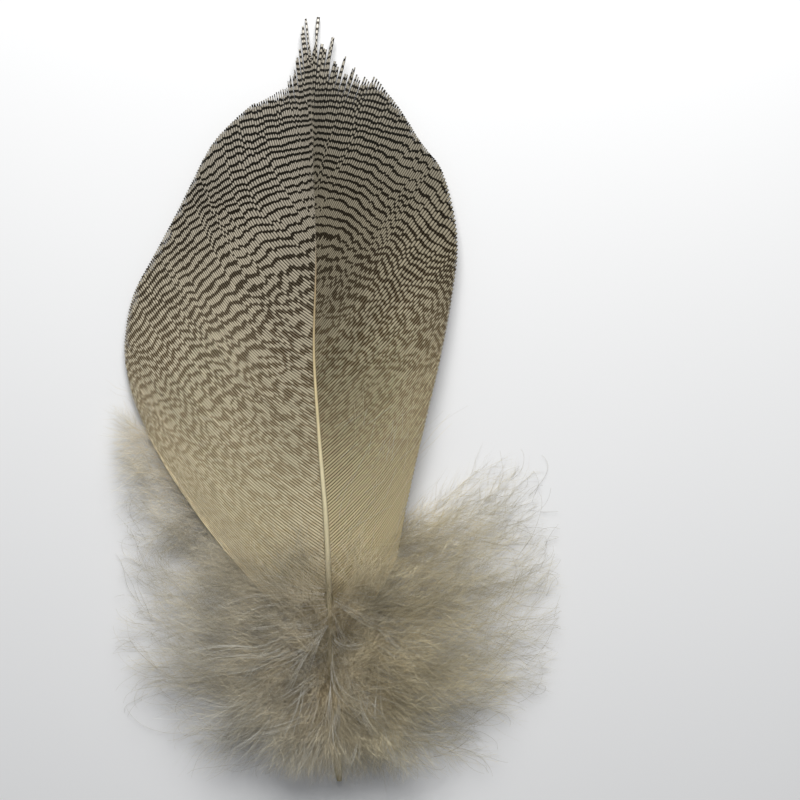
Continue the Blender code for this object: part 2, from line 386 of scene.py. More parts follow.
class GrowthTree:
    """A Geometry Nodes tree with named inputs, used through a modifier and then applied."""

    name = "growth"
    inputs: tuple[tuple[str, str], ...] = ()

    def __init__(self) -> None:
        """Make the tree's sockets and fill it with nodes."""
        self.tree = bpy.data.node_groups.new(self.name, "GeometryNodeTree")
        self.bench = NodeBench(self.tree)
        self.add_socket("Piece", "Geometry", "OUTPUT")
        kinds = (("Lines", "Geometry"), *self.inputs, ("Plan Corner", "Vector"),
                 ("Plan Size", "Vector"), ("Material", "Material"))
        self.sockets = {name: self.add_socket(name, kind, "INPUT") for name, kind in kinds}
        self.start = self.bench.place("NodeGroupInput").outputs
        self.end(self.fill())

    def add_socket(self, name: str, kind: str, in_out: str) -> str:
        """Add a socket to the tree's ends and return what a modifier calls it."""
        kind = "NodeSocket" + kind
        return self.tree.interface.new_socket(name=name, in_out=in_out, socket_type=kind).identifier

    def fill(self) -> Socket:
        """Place the nodes and return the socket with the grown geometry."""
        raise NotImplementedError

    def end(self, geometry: Socket) -> None:
        """Lay the bake's plan over the geometry, realize it and give it its material.

        Args:
            geometry: The grown geometry.
        """
        bench = self.bench
        place = bench.place("GeometryNodeInputPosition").outputs[0]
        from_corner = bench.vector("SUBTRACT", place, self.start["Plan Corner"])
        on_plan = bench.vector("DIVIDE", from_corner, self.start["Plan Size"])
        geometry = self.store(geometry, "OFBake", on_plan, "FLOAT2", "CORNER")
        real = bench.place("GeometryNodeRealizeInstances", {0: geometry}).outputs[0]
        dressed = bench.place("GeometryNodeSetMaterial",
                              {"Geometry": real, "Material": self.start["Material"]}).outputs[0]
        bench.place("NodeGroupOutput", {0: dressed})

    def store(self, geometry: Socket, name: str, value: object, data_type: str,
              domain: str) -> Socket:
        """Store a named value on the geometry and return it."""
        inputs = {"Geometry": geometry, "Name": name, "Value": value}
        return self.bench.place("GeometryNodeStoreNamedAttribute", inputs,
                                data_type=data_type, domain=domain).outputs[0]

    def moved(self, geometry: Socket, **inputs: object) -> Socket:
        """The geometry with its points set to a Position or moved by an Offset."""
        node = self.bench.place("GeometryNodeSetPosition", {"Geometry": geometry} | inputs)
        return node.outputs[0]

    def grow(self, lines: GuideLines, name: str, plan: Plan, material: bpy.types.Material,
             **values: object) -> bpy.types.Object:
        """Grow a piece along guide lines.

        Args:
            lines: The lines that it follows.
            name: The piece's name.
            plan: Low X, low Y, high X and high Y of the rectangle that its bake is laid over.
            material: Its finish.
            values: The tree's own inputs, with underscores for spaces.

        Returns:
            The piece as a plain mesh, without a modifier.
        """
        guide = lines.as_object(name + "_lines")
        modifier = guide.modifiers.new("growth", "NODES")
        modifier.node_group = self.tree
        settings = {key.replace("_", " "): value for key, value in values.items()}
        low_x, low_y, high_x, high_y = (edge * MM for edge in plan)
        settings |= {"Plan Corner": (low_x, low_y, 0.0), "Material": material,
                     "Plan Size": (high_x - low_x, high_y - low_y, 1.0)}
        for key, value in settings.items():
            modifier[self.sockets[key]] = value
        depsgraph = bpy.context.evaluated_depsgraph_get()
        mesh = bpy.data.meshes.new_from_object(guide.evaluated_get(depsgraph))
        mesh.name = name
        for spare in WORKING_VALUES:
            if spare in mesh.attributes:
                mesh.attributes.remove(mesh.attributes[spare])
        bpy.data.objects.remove(guide)
        return in_scene(name, mesh)


class SweepTree(GrowthTree):
    """Sweeps a section along lines that carry their own axes and widths."""

    name = "sweep_along_lines"
    inputs = (("Section", "Object"),)

    def fill(self) -> Socket:
        """Sweep the section and set every corner from the line's own axes.

        Returns:
            The swept geometry.
        """
        bench = self.bench
        section = bench.place("GeometryNodeObjectInfo", {"Object": self.start["Section"]})
        outline = section.outputs["Geometry"]
        profile = bench.place("GeometryNodeMeshToCurve", {0: outline}).outputs[0]
        corner = bench.place("GeometryNodeInputPosition").outputs[0]
        profile = self.store(profile, "section", corner, "FLOAT_VECTOR", "POINT")
        curve = bench.place("GeometryNodeMeshToCurve", {0: self.start["Lines"]}).outputs[0]
        ends = {"Curve": curve, "Profile Curve": profile, "Fill Caps": True}
        swept = bench.place("GeometryNodeCurveToMesh", ends).outputs[0]
        parts = bench.split(bench.named("section", "FLOAT_VECTOR"))
        sideways = bench.scaled(bench.named("across", "FLOAT_VECTOR"), parts[0])
        upwards = bench.scaled(bench.named("rise", "FLOAT_VECTOR"), parts[1])
        place = bench.vector("ADD", bench.named("spine", "FLOAT_VECTOR"),
                             bench.vector("ADD", sideways, upwards))
        on_barb = bench.combined(bench.named("pattern"), parts[0])
        return self.store(self.moved(swept, Position=place), "barb", on_barb, "FLOAT2", "CORNER")


class BarbuleTree(GrowthTree):
    """Sets fine barbules all round loose barbs, each bent towards the barb's tip."""

    name = "barbules_on_barbs"
    inputs = (("Barbule", "Object"), ("Spacing", "Float"), ("Lean", "Float"), ("Stray", "Float"),
              ("Stray Scale", "Float"), ("Floor", "Float"), ("Ceiling", "Float"), ("Seed", "Int"))
    own_length: Span = (0.45, 1.2)
    own_tone: Span = (0.86, 1.14)

    def random(self, span: tuple, seed_step: int, data_type: str = "FLOAT") -> Socket:
        """Draw a random number or vector for each point, from the tree's seed.

        Args:
            span: The least and the most.
            seed_step: What is added to the seed.
            data_type: The kind of value.

        Returns:
            The value.
        """
        low, high, result = (0, 1, 0) if data_type == "FLOAT_VECTOR" else (2, 3, 1)
        seed = self.bench.math("ADD", self.start["Seed"], seed_step)
        inputs = {low: span[0], high: span[1], "Seed": seed}
        node = self.bench.place("FunctionNodeRandomValue", inputs, data_type=data_type)
        return node.outputs[result]

    def fill(self) -> Socket:
        """Place the barbules along the lines and let them stray a little.

        Returns:
            The barbules, held between the floor and the ceiling.
        """
        bench = self.bench
        curve = bench.place("GeometryNodeMeshToCurve", {0: self.start["Lines"]}).outputs[0]
        dots = bench.place("GeometryNodeCurveToPoints",
                           {"Curve": curve, "Length": self.start["Spacing"]}, mode="LENGTH").outputs
        anywhere = self.random(((-1.0, -1.0, -1.0), (1.0, 1.0, 1.0)), 1, "FLOAT_VECTOR")
        outward = bench.vector("CROSS_PRODUCT", dots["Tangent"], anywhere)
        outward = bench.vector("NORMALIZE", outward)
        heading = bench.vector("ADD", outward, bench.scaled(dots["Tangent"], self.start["Lean"]))
        turned = bench.place("FunctionNodeAxesToRotation",
                             {"Primary Axis": heading, "Secondary Axis": dots["Tangent"]},
                             primary_axis="Z", secondary_axis="X").outputs[0]
        length = bench.times(bench.named("barbule"), self.random(self.own_length, 2))
        own = bench.times(bench.named("tone"), self.random(self.own_tone, 3))
        points = self.store(dots["Points"], "tone", own, "FLOAT", "POINT")
        barbule = bench.place("GeometryNodeObjectInfo", {"Object": self.start["Barbule"]})
        grown = bench.place("GeometryNodeInstanceOnPoints",
                            {"Points": points, "Instance": barbule.outputs["Geometry"],
                             "Rotation": turned, "Scale": length}).outputs[0]
        grown = bench.place("GeometryNodeRealizeInstances", {0: grown}).outputs[0]
        place = bench.place("GeometryNodeInputPosition").outputs[0]
        drift = bench.grain(place, self.start["Stray Scale"], 2.0)
        centred = bench.vector("SUBTRACT", drift["Color"], (0.5, 0.5, 0.5))
        grown = self.moved(grown, Offset=bench.scaled(centred, self.start["Stray"]))
        parts = bench.split(place)
        held = bench.place("ShaderNodeClamp", {"Value": parts[2], "Min": self.start["Floor"],
                                               "Max": self.start["Ceiling"]}).outputs[0]
        grown = self.moved(grown, Position=bench.combined(parts[0], parts[1], held))
        on_barb = bench.combined(bench.named("pattern"), 0.0)
        return self.store(grown, "barb", on_barb, "FLOAT2", "CORNER")


def circle(sides: int) -> Keys:
    """Corners of a regular polygon in a circle with a radius of 1."""
    angles = (math.tau * corner / sides for corner in range(sides))
    return tuple((math.cos(angle), math.sin(angle)) for angle in angles)


def section_object(name: str, corners: Keys) -> bpy.types.Object:
    """Make a closed section for the sweep.

    Args:
        name: The section's name.
        corners: Its corners, counted in half widths and in heights.

    Returns:
        An object that isn't part of the scene.
    """
    mesh = bpy.data.meshes.new(name)
    edges = [(i, (i + 1) % len(corners)) for i in range(len(corners))]
    mesh.from_pydata([(x, y, 0.0) for x, y in corners], edges, [])
    return bpy.data.objects.new(name, mesh)


def barbule_object(thick: float, typical: float, bend: float) -> bpy.types.Object:
    """Make one barbule, a thin three-sided spine with a bend, a metre long to be scaled.

    Args:
        thick: Its thickness at the root.
        typical: The usual length of a barbule, which the thickness is kept at.
        bend: How far its tip bends sideways, as a share of its length.

    Returns:
        An object that isn't part of the scene.
    """
    shape = bmesh.new()
    root, middle = ([shape.verts.new((bend * along ** 2 + radius * x, radius * y, along))
                     for x, y in circle(3)]
                    for along, radius in ((0.0, thick / 2 / typical), (0.5, 0.4 * thick / typical)))
    tip = shape.verts.new((bend, 0.0, 1.0))
    for corner in range(3):
        after = (corner + 1) % 3
        shape.faces.new((root[corner], root[after], middle[after], middle[corner]))
        shape.faces.new((middle[corner], middle[after], tip))
    shape.faces.new(root[::-1])
    mesh = bpy.data.meshes.new("barbule")
    shape.to_mesh(mesh)
    shape.free()
    return bpy.data.objects.new("barbule", mesh)


# Finishes


@dataclass(frozen=True)
class Finish:
    """A finish whose colour is worked out by nodes."""

    name = "finish"
    roughness: float = 0.9
    specular: float = 0.5

    def colour(self, bench: NodeBench) -> Socket:
        """Place the nodes that work the colour out and return it."""
        raise NotImplementedError

    def material(self) -> bpy.types.Material:
        """Make the material.

        Returns:
            The material, with the finish's colour, roughness and specular level.
        """
        material = bpy.data.materials.new(self.name)
        material.use_nodes = True
        shader = material.node_tree.nodes["Principled BSDF"].inputs
        bench = NodeBench(material.node_tree)
        bench.tree.links.new(self.colour(bench), shader["Base Color"])
        shader["Roughness"].default_value = self.roughness
        shader["Specular IOR Level"].default_value = self.specular
        return material


@dataclass(frozen=True)
class VaneFinish(Finish):
    """Keratin webs in warm grey with fine dark bars, and paler rami between them.

    Places along the feather are shares of the way from low to high. Places across a
    barb run from 0 at its ridge to 1 at its edge, and a bar's width is a share of the
    period. Where the bars tangle, a fine noise pushes them about.
    """

    name = "vane_barbs"
    roughness: float = 0.60
    specular: float = 0.06
    low: float = -30.0
    high: float = 46.0
    shaft_x: float = -2.6
    light: Stops = (
        (0, (0.62, 0.54, 0.345)), (0.25, (0.57, 0.50, 0.34)), (0.50, (0.475, 0.418, 0.305)),
        (0.72, (0.315, 0.283, 0.225)), (0.88, (0.295, 0.268, 0.22)), (0.95, (0.40, 0.365, 0.305)),
        (1, (0.80, 0.76, 0.68)))
    dark: Stops = (
        (0, (0.60, 0.49, 0.30)), (0.22, (0.475, 0.392, 0.248)), (0.34, (0.28, 0.215, 0.128)),
        (0.44, (0.125, 0.085, 0.042)), (0.56, (0.048, 0.033, 0.016)), (0.66, (0.018, 0.013, 0.007)),
        (0.80, (0.010, 0.009, 0.006)), (0.95, (0.020, 0.018, 0.015)), (1, (0.09, 0.08, 0.065)))
    ramus: Span = (0.15, 0.50)
    gap: Span = (0.40, 0.85)
    narrowing: Span = (0.3, 0.7)
    bar_width: Span = (0.50, 0.34)
    edge_soft: Span = (0.13, 0.05)
    darkest_share: float = 0.54
    least_share: float = 0.41
    least_from: Span = (0.56, 0.82)
    bristles: float = 0.50
    crossed: float = 0.6
    crossed_until: Span = (0.35, 0.72)
    break_scale: float = 620.0
    break_levels: Fade = (0.34, 0.66, -1, 1)
    broken: float = 0.05
    broken_from: Span = (0.15, 0.40)
    broken_until: Span = (0.50, 0.80)
    broken_left: float = 0.18
    tangled: float = 0.85
    tangle_scale: float = 980.0
    tangle_detail: float = 0.6
    tangle_levels: Span = (19, 4)
    tangle_tilt: float = 0.55
    tangle_rate: Span = (0.20, 0.55)
    tangled_by_rate: float = 0.9
    tangle_spread: float = 0.20
    tangle_thins: float = 0.028
    own_shift: float = 1.3
    # Paler rami and painted shade in the gaps between barbs, and how both grow along the feather.
    rami_and_gap_shade_from: Span = (0.30, 0.60)
    ramus_gain: Span = (0.08, 0.20)
    gap_shade_depth: Span = (0.05, 0.34)
    uneven_from: Fade = (0.20, 0.42, 0.45, 1)
    uneven_until: Fade = (0.45, 0.80, 1, 0.45)
    shaded: float = 0.23
    shade_reach: Span = (1.5, 12)
    shade_from: Span = (0.12, 0.42)
    shade_until: Fade = (0.56, 0.76, 1, 0.10)

    def push(self, bench: NodeBench, own: Socket) -> Socket:
        """Read the fine noise that pushes the bars about.

        Args:
            bench: The material's bench.
            own: The barb's own tone, which sets its push apart from its neighbours'.

        Returns:
            A push between about -0.5 and 0.5.
        """
        shift = bench.times(bench.less(own, 1.0), self.own_shift * MM)
        place = bench.vector("ADD", bench.spot(), bench.combined(shift, shift))
        return bench.less(bench.grain(place, self.tangle_scale, self.tangle_detail)[0], 0.5)

    def bar(self, bench: NodeBench, along: Socket, off_shaft: Socket, own: Socket,
            across: tuple[Socket, Socket]) -> Socket:
        """Work out where the bars are.

        Args:
            bench: The material's bench.
            along: How far along the feather the point is.
            off_shaft: How far it is from the shaft, in metres.
            own: The barb's own tone.
            across: How much of the ramus and of the gap beside it is there.

        Returns:
            How much of a bar is there, from 0 to 1.
        """
        on_ramus, in_gap = across
        rate = bench.shown("rate")
        y = bench.split(bench.spot())[1]
        level = bench.math("MULTIPLY_ADD", off_shaft, self.tangle_tilt, y)
        high, low = self.tangle_levels
        tangle = bench.range(level, low * MM, high * MM, self.tangled, 0.0)
        by_rate = bench.range(rate, *self.tangle_rate, self.tangled_by_rate, 0.0)
        tangle = bench.math("MAXIMUM", tangle, by_rate)
        pushed = bench.math("MULTIPLY_ADD", self.push(bench, own), tangle, bench.on_barb()[0])
        phase = bench.math("WRAP", pushed, 0.5, -0.5)
        below = bench.times(bench.math("MINIMUM", phase, 0.0), self.bristles)
        off_bar = bench.math("ABSOLUTE", bench.less(phase, bench.times(below, in_gap)))
        rate = bench.math("MULTIPLY_ADD", tangle, self.tangle_spread, rate)
        wide, thin = self.bar_width
        edge = bench.times(rate, bench.range(along, *self.narrowing, wide / 2, thin / 2))
        most = bench.math("MULTIPLY_ADD", tangle, -self.tangle_thins, self.darkest_share / 2)
        least = bench.range(along, *self.least_from, self.least_share / 2, 0.0)
        edge = bench.math("MAXIMUM", bench.math("MINIMUM", edge, most), least)
        grain = bench.grain(bench.spot(), self.break_scale, 1.0)[0]
        breaks = bench.range(grain, *self.break_levels)
        amount = bench.times(bench.range(along, *self.broken_from, 0.0, self.broken),
                             bench.range(along, *self.broken_until, 1.0, self.broken_left))
        edge = bench.math("MULTIPLY_ADD", breaks, amount, edge)
        soft = bench.times(rate, bench.range(along, *self.narrowing, *self.edge_soft))
        inside = bench.math("DIVIDE", bench.less(edge, off_bar), soft)
        crossing = bench.times(on_ramus, bench.range(along, *self.crossed_until, self.crossed, 0.0))
        return bench.times(bench.range(inside, -1.0, 1.0), bench.less(1.0, crossing))

    def colour(self, bench: NodeBench) -> Socket:
        """Lay the bars, the paler rami, painted shade in the gaps between barbs and painted shade
        beside the shaft over the web.

        Args:
            bench: The material's bench.

        Returns:
            The colour.
        """
        along = bench.along(self.low, self.high)
        own = bench.shown("tone")
        x = bench.split(bench.spot())[0]
        off_shaft = bench.math("ABSOLUTE", bench.less(x, self.shaft_x * MM))
        beside = bench.math("ABSOLUTE", bench.on_barb()[1])
        on_ramus = bench.range(beside, *self.ramus, 1.0, 0.0)
        in_gap = bench.range(beside, *self.gap)
        bar = self.bar(bench, along, off_shaft, own, (on_ramus, in_gap))
        colour = bench.mix(bar, bench.ramp(along, self.light), bench.ramp(along, self.dark))
        # The rami are paler, and the gaps between barbs get painted shade.
        gain = bench.range(along, *self.rami_and_gap_shade_from, *self.ramus_gain)
        depth = bench.range(along, *self.rami_and_gap_shade_from, *self.gap_shade_depth)
        shade = bench.times(bench.math("MULTIPLY_ADD", on_ramus, gain, 1.0),
                            bench.less(1.0, bench.times(in_gap, depth)))
        uneven = bench.times(bench.range(along, *self.uneven_from),
                             bench.range(along, *self.uneven_until))
        own = bench.math("MULTIPLY_ADD", bench.less(own, 1.0), uneven, 1.0)
        start, end = self.shade_reach
        near = bench.times(bench.range(off_shaft, start * MM, end * MM, self.shaded, 0.0),
                           bench.times(bench.range(along, *self.shade_from),
                                       bench.range(along, *self.shade_until)))
        shade = bench.times(shade, bench.less(1.0, near))
        return bench.scaled(colour, bench.times(shade, own))


@dataclass(frozen=True)
class ShaftFinish(Finish):
    """Cream horn, clear and yellowish at the quill and darker towards the tip."""

    name = "shaft_horn"
    roughness: float = 0.34
    low: float = -46.0
    high: float = 30.0
    colours: Stops = (
        (0, (0.56, 0.46, 0.25)), (0.15, (0.60, 0.51, 0.30)), (0.34, (0.66, 0.59, 0.39)),
        (0.50, (0.82, 0.73, 0.47)), (0.62, (0.74, 0.61, 0.35)), (0.78, (0.36, 0.27, 0.15)),
        (0.88, (0.20, 0.17, 0.13)), (1, (0.20, 0.18, 0.15)))
    streak_stretch: tuple[float, float, float] = (1.0, 0.05, 1.0)
    streak_scale: float = 9000.0
    streaks: Fade = (0.3, 0.7, 0.86, 1.06)
    # Painted shade on the shaft's sides: how much and how fast its rim darkens.
    rim_shade: float = 0.55
    rim_shade_power: float = 2.5

    def colour(self, bench: NodeBench) -> Socket:
        """Lay faint streaks over the horn and darken its rim as painted shade, where the round
        shaft turns from the light.

        Args:
            bench: The material's bench.

        Returns:
            The colour.
        """
        stretched = bench.vector("MULTIPLY", bench.spot(), self.streak_stretch)
        tone = bench.range(bench.grain(stretched, self.streak_scale, 3.0)[0], *self.streaks)
        beside = bench.math("ABSOLUTE", bench.on_barb()[1])
        # Painted shade: darker towards the rim of the round section.
        rim_shade = bench.times(bench.math("POWER", beside, self.rim_shade_power), self.rim_shade)
        tone = bench.times(tone, bench.less(1.0, rim_shade))
        return bench.scaled(bench.ramp(bench.along(self.low, self.high), self.colours), tone)


@dataclass(frozen=True)
class DownFinish(Finish):
    """Soft grey-beige down, browner in its depths and paler at its tips."""

    name = "down_barbules"
    roughness: float = 0.85
    stops: Stops = ((0, (0.45, 0.365, 0.23)), (0.35, (0.56, 0.485, 0.34)), (1, (0.66, 0.615, 0.49)))
    patches: Fade = (0.32, 0.68, 0.74, 1.15)
    patch_scale: float = 190.0
    right: Colour = (1.05, 1.03, 0.93)
    right_from: Span = (-6, 10)
    silver: Colour = (0.46, 0.455, 0.42)
    silver_from: Span = (1.2, 1.5)

    def colour(self, bench: NodeBench) -> Socket:
        """Work the colour out from how far out along its barb a barbule is.

        Args:
            bench: The material's bench.

        Returns:
            The colour, warmer on the right and silvery on the palest barbs.
        """
        place, own = bench.spot(), bench.shown("tone")
        patches = bench.grain(place, self.patch_scale, 2.0)[0]
        tone = bench.times(own, bench.range(patches, *self.patches))
        colour = bench.scaled(bench.ramp(bench.on_barb()[0], self.stops), tone)
        low, high = self.right_from
        to_right = bench.range(bench.split(place)[0], low * MM, high * MM)
        colour = bench.mix(to_right, colour, bench.vector("MULTIPLY", colour, self.right))
        palest = bench.range(own, *self.silver_from)
        return bench.mix(palest, colour, bench.scaled(self.silver, own))


@dataclass(frozen=True)
class FloorFinish(Finish):
    """Plain near-white card with the faintest mottle."""

    name = "pale_card"
    card: Colour = (0.86, 0.865, 0.875)
    mottle: Fade = (0.3, 0.7, 0.985, 1)
    mottle_scale: float = 12.0

    def colour(self, bench: NodeBench) -> Socket:
        """Lay the mottle over the card's colour."""
        grain = bench.grain(bench.spot(), self.mottle_scale, 2.0)[0]
        return bench.scaled(self.card, bench.range(grain, *self.mottle))


# Pieces


def hand_over(piece: bpy.types.Object) -> None:
    """Let a piece ride on the body and stand for the CAD's feather, and log its triangles.

    Args:
        piece: The finished piece.
    """
    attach(piece, BODY)
    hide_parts(NODE)
    piece.data.calc_loop_triangles()
    log.info("%s: %d triangles", piece.name, len(piece.data.loop_triangles))


@dataclass(frozen=True)
class BarbGroup:
    """Neighbouring barbs that hold together, their form, and how the bars lie on them."""

    first: int
    last: int
    reach: float
    lift: float
    gather: float
    jump: float
    slant: float
    hump: float
    track: float


@dataclass(frozen=True)
class Tuft:
    """Barbs near the tip that lean together into one spike, from a root upwards."""

    root: float
    reach: float
    gather: float


@dataclass(frozen=True)
class Wave:
    """A smooth sway of the bars, in bars, and its length along the barbs and across them."""

    sway: float
    tangled: float
    along: float
    across: float = 1.0

    def at(self, along: float, across: float, tangle: float = 0.0, far: float = 0.0) -> float:
        """How far it shifts the bars at a place, with more sway where they tangle."""
        sway = self.sway + self.tangled * tangle
        return sway * wander(along / self.along + far, across / self.across)


@dataclass
class Vane:
    """One vane of the feather, barb by barb."""

    side: Side
    barbs: int = 160
    crowd_roots: float = 0.1
    stations: int = 40
    seed: int = 3
    section: Keys = ((-1, -0.15), (-0.3, 0.3), (0, 1), (0.3, 0.3), (1, 0.1), (0, -0.9))
    ridge_root: float = 0.045
    ridge_tip: float = 0.03
    steepest: float = 0.7
    rolls: float = 7.0
    group_size: tuple[int, int] = (4, 9)
    full_reach: float = 1.01
    past_full: float = 0.1
    lifts: Span = (-0.015, 0.02)
    jumps: Span = (-0.12, 0.12)
    slants: Span = (-0.28, 0.40)
    humps: Span = (0.15, 0.60)
    crowd_ends: float = 1.25
    tufts: tuple[Tuft, ...] = (Tuft(23.4, 0.97, 0.1), Tuft(24.4, 0.98, 0.2), Tuft(25.4, 0.95, 0.25),
                               Tuft(26.4, 0.97, 0.4), Tuft(27.3, 0.97, 0.6), Tuft(28.2, 1.03, 0.6),
                               Tuft(29.5, 1.05, 0.8))
    period: Keys = ((-40, 2.1), (-10, 2.1), (3, 2), (10, 1.85), (16, 1.60), (20, 1.40),
                    (24, 1.12), (28, 0.89), (33, 0.75), (46, 0.67), (70, 0.67))
    bar_fall: Keys = ((0, 0), (2, 0.7), (5, 1.9), (8, 3.6), (12, 6.4), (16, 9.8),
                      (20, 13.5), (26, 19))
    fall_at: Keys = ((-30, 0.6), (-5, 0.95), (5, 1.06), (14, 0.98), (21, 0.86), (27, 0.78),
                     (31, 0.58), (36, 0.38), (46, 0.25))
    drift: Wave = Wave(4.0, 0.0, 7.0, 9.0)
    scallop: Wave = Wave(0.8, 0.0, 7.0)
    least_scallop: float = 0.55
    large: Wave = Wave(0.16, 0.0, 7.0, 7.0)
    long: Wave = Wave(0.17, 0.10, 9.0, 19.0)
    short: Wave = Wave(0.08, 0.16, 6.0, 7.5)
    adrift: Wave = Wave(0.05, 0.5, 14.0)
    staggered: Wave = Wave(0.0, 0.44, 3.2, 3.0)
    apart: float = 40.0
    large_apart: float = 9.0
    scallop_track: float = 11.0
    scallop_gain: float = 0.9
    jitter_gain: float = 0.5
    lower_adrift: float = 0.6
    stagger_from: float = 21.0
    stagger_over: float = 13.0
    stagger_tilt: float = 0.6
    lower_from: float = 8.0
    lower_over: float = 16.0
    jitter: float = 0.07
    least_rate: float = 0.2
    least_tangle: float = 0.2
    tangle_width: float = 14.0
    tangle_height: float = 26.0
    tangle_centre: float = 1.0
    open_from: Keys = ((-30, 0.98), (0, 0.985), (17, 0.985), (23, 0.94), (26, 0.88), (30, 0.86))
    open_width: Keys = ((-30, 0.15), (18, 0.20), (24, 0.60), (28, 0.9), (30, 0.95))
    ragged: Keys = ((-30, 0.006), (17, 0.006), (22, 0.03), (25, 0.12), (30, 0.16))
    end_width: Keys = ((-30, 0.7), (17, 0.7), (22, 0.45), (25, 0.45), (28, 0.8), (30, 0.9))
    open_spread: float = 0.02
    shoulder_power: float = 1.4
    own_ragged: float = 0.3
    closing_from: float = 0.68
    closing_over: float = 0.22
    overlap: float = 1.06
    widest: float = 0.42
    finest: float = 0.018
    tones: Span = (0.89, 1.10)
    alternate: float = 0.16
    crowded_below: float = 0.23
    crowded_over: float = 0.05
    # The lowest barbs are paler and flecked. This is partly their own paler colour and partly a
    # painted highlight on the vane's lower edge.
    pale_barbs: int = 3
    pale_tones: Span = (1.3, 1.7)
    highlight_fleck: float = 0.8
    highlight_fleck_rate: float = 19.0
    owners: list[BarbGroup] = field(default_factory=list)
    plans: list[list[Vector]] = field(default_factory=list)

    def root_of(self, number: float) -> float:
        """Find where a barb leaves the shaft.

        Args:
            number: The barb's number from the quill.

        Returns:
            Its root as a Y.
        """
        share = number / (self.barbs - 1)
        share *= 1.0 + self.crowd_roots * (1.0 - share)
        return FORM.root_low + (FORM.root_high - FORM.root_low) * share

    def along(self, station: int) -> float:
        """How far along a barb a station is, with the stations closer together at its tip."""
        return 1.0 - (1.0 - station / self.stations) ** self.crowd_ends

    def make_groups(self) -> None:
        """Part the barbs into groups of uneven size, and into tufts near the tip."""
        dice = random.Random(self.seed)
        first = 0
        while first < self.barbs:
            tuft = next((t for t in reversed(self.tufts) if self.root_of(first) >= t.root), None)
            next_tuft = next((t.root for t in self.tufts if t.root > self.root_of(first)), math.inf)
            last = min(first + dice.randint(*self.group_size), self.barbs) - 1
            ragged = smooth(self.ragged, self.root_of((first + last) / 2))
            reach, gather = self.full_reach + ragged * (self.past_full - dice.random()), 0.0
            if tuft:
                reach, gather, last = tuft.reach, tuft.gather, self.barbs - 1
            while last > first and self.root_of(last) >= next_tuft:
                last -= 1
            lift = dice.uniform(*self.lifts) if first else 0.0
            group = BarbGroup(first, last, reach, lift, gather, dice.uniform(*self.jumps),
                              dice.uniform(*self.slants), -dice.uniform(*self.humps),
                              dice.uniform(*TRACKS))
            self.owners += [group] * (last - first + 1)
            first = last + 1

    def plan_barb(self, number: int, group: BarbGroup, dice: random.Random) -> list[Vector]:
        """Lay out one barb.

        Args:
            number: The barb's number from the quill.
            group: The group that it is in.
            dice: The vane's own random numbers.

        Returns:
            Its points from the shaft to its tip.
        """
        root = self.root_of(number)
        centre = self.root_of((group.first + group.last) / 2)
        ragged = self.own_ragged * smooth(self.ragged, root)
        own_reach = group.reach * (1.0 - ragged * dice.random())
        points = []
        for station in range(self.stations + 1):
            along = self.along(station)
            closing = clamp((along - self.closing_from) / self.closing_over)
            gathered = root + (centre - root) * group.gather * closing ** 2 * (3 - 2 * closing)
            flat = FORM.barb_plan(self.side, gathered, along, own_reach)
            points.append(FORM.on_vane(flat.x, flat.y) + UP * (group.lift * min(1.0, 2 * along)))
        return points

    def count_bars(self, level: float) -> float:
        """Count the bars from the tip down to a level, each as deep as the period is there.

        Args:
            level: The level, as a Y.

        Returns:
            How many there are, counted downwards from 0.
        """
        count = 0.0
        for (low, deep), (high, shallow) in zip(self.period, self.period[1:]):
            reach = clamp(level, low, high)
            here = 1 / shallow + (1 / deep - 1 / shallow) * (high - reach) / (high - low)
            count -= (high - reach) * (1 / shallow + here) / 2
        return count

    def tangle(self, beside: float, y: float) -> float:
        """How tangled the bars are at a place, most beside the middle of the shaft."""
        near = max(self.least_tangle, 1.0 - beside / self.tangle_width)
        return near * max(0.0, 1.0 - abs(y - self.tangle_centre) / self.tangle_height)

    def phase_of(self, number: int, points: list[Vector], jitter: float) -> list[float]:
        """Work out the bars' phase along a barb.

        Args:
            number: The barb's number.
            points: Its points.
            jitter: Its own small shift.

        Returns:
            The phase at each point, one for each light and dark bar.
        """
        root, far = self.root_of(number), self.apart * self.side.value
        phases = []
        for point in points:
            out = (point - points[0]).length
            beside = abs(point.x - FORM.shaft_x(point.y))
            tangle = self.tangle(beside, point.y)
            lower = clamp((self.lower_from - point.y) / self.lower_over)
            level = point.y + self.stagger_tilt * beside
            zone = clamp((self.stagger_from - level) / self.stagger_over)
            fall = smooth(self.bar_fall, beside) * smooth(self.fall_at, point.y)
            even = self.count_bars(point.y + fall)
            shifted = number + self.drift.at(out, root, far=far)
            group = self.owners[clamp(round(shifted), 0, self.barbs - 1)]
            place = 2 * (shifted - group.first + 0.5) / (group.last - group.first + 1) - 1
            scallop = group.slant * place + group.hump * (1 - place ** 2)
            scallop *= self.least_scallop + self.scallop.at(out, group.track + self.scallop_track)
            scallop *= 1.0 + self.scallop_gain * zone
            own = jitter * (1.0 + self.jitter_gain * (zone + lower))
            phases.append(even + group.jump + scallop + own
                          + self.large.at(point.x, point.y, far=self.large_apart * self.side.value)
                          + self.long.at(out, root, tangle, far)
                          + self.short.at(out, root, tangle, -far)
                          + self.adrift.at(out, group.track, tangle + self.lower_adrift * lower)
                          + self.staggered.at(out, number, zone, far))
        return phases

    def make(self, sweep: SweepTree, material: bpy.types.Material) -> None:
        """Build the vane.

        Args:
            sweep: The tree that sweeps the barbs.
            material: Their finish.
        """
        self.make_groups()
        dice = random.Random(self.seed + 50)
        self.plans = [self.plan_barb(number, owner, dice)
                      for number, owner in enumerate(self.owners)]
        lines = GuideLines()
        for number, points in enumerate(self.plans):
            phases = self.phase_of(number, points, dice.uniform(-self.jitter, self.jitter))
            self.add_barb(lines, number, phases, dice)
        edges = [point.x for point in lines.points]
        plan = (min(edges) - 0.5, -31.0, max(edges) + 0.5, 47.0)
        piece = sweep.grow(lines, f"vane_{self.side.name.lower()}", plan, material,
                           Section=section_object("barb_section", self.section))
        hand_over(piece)

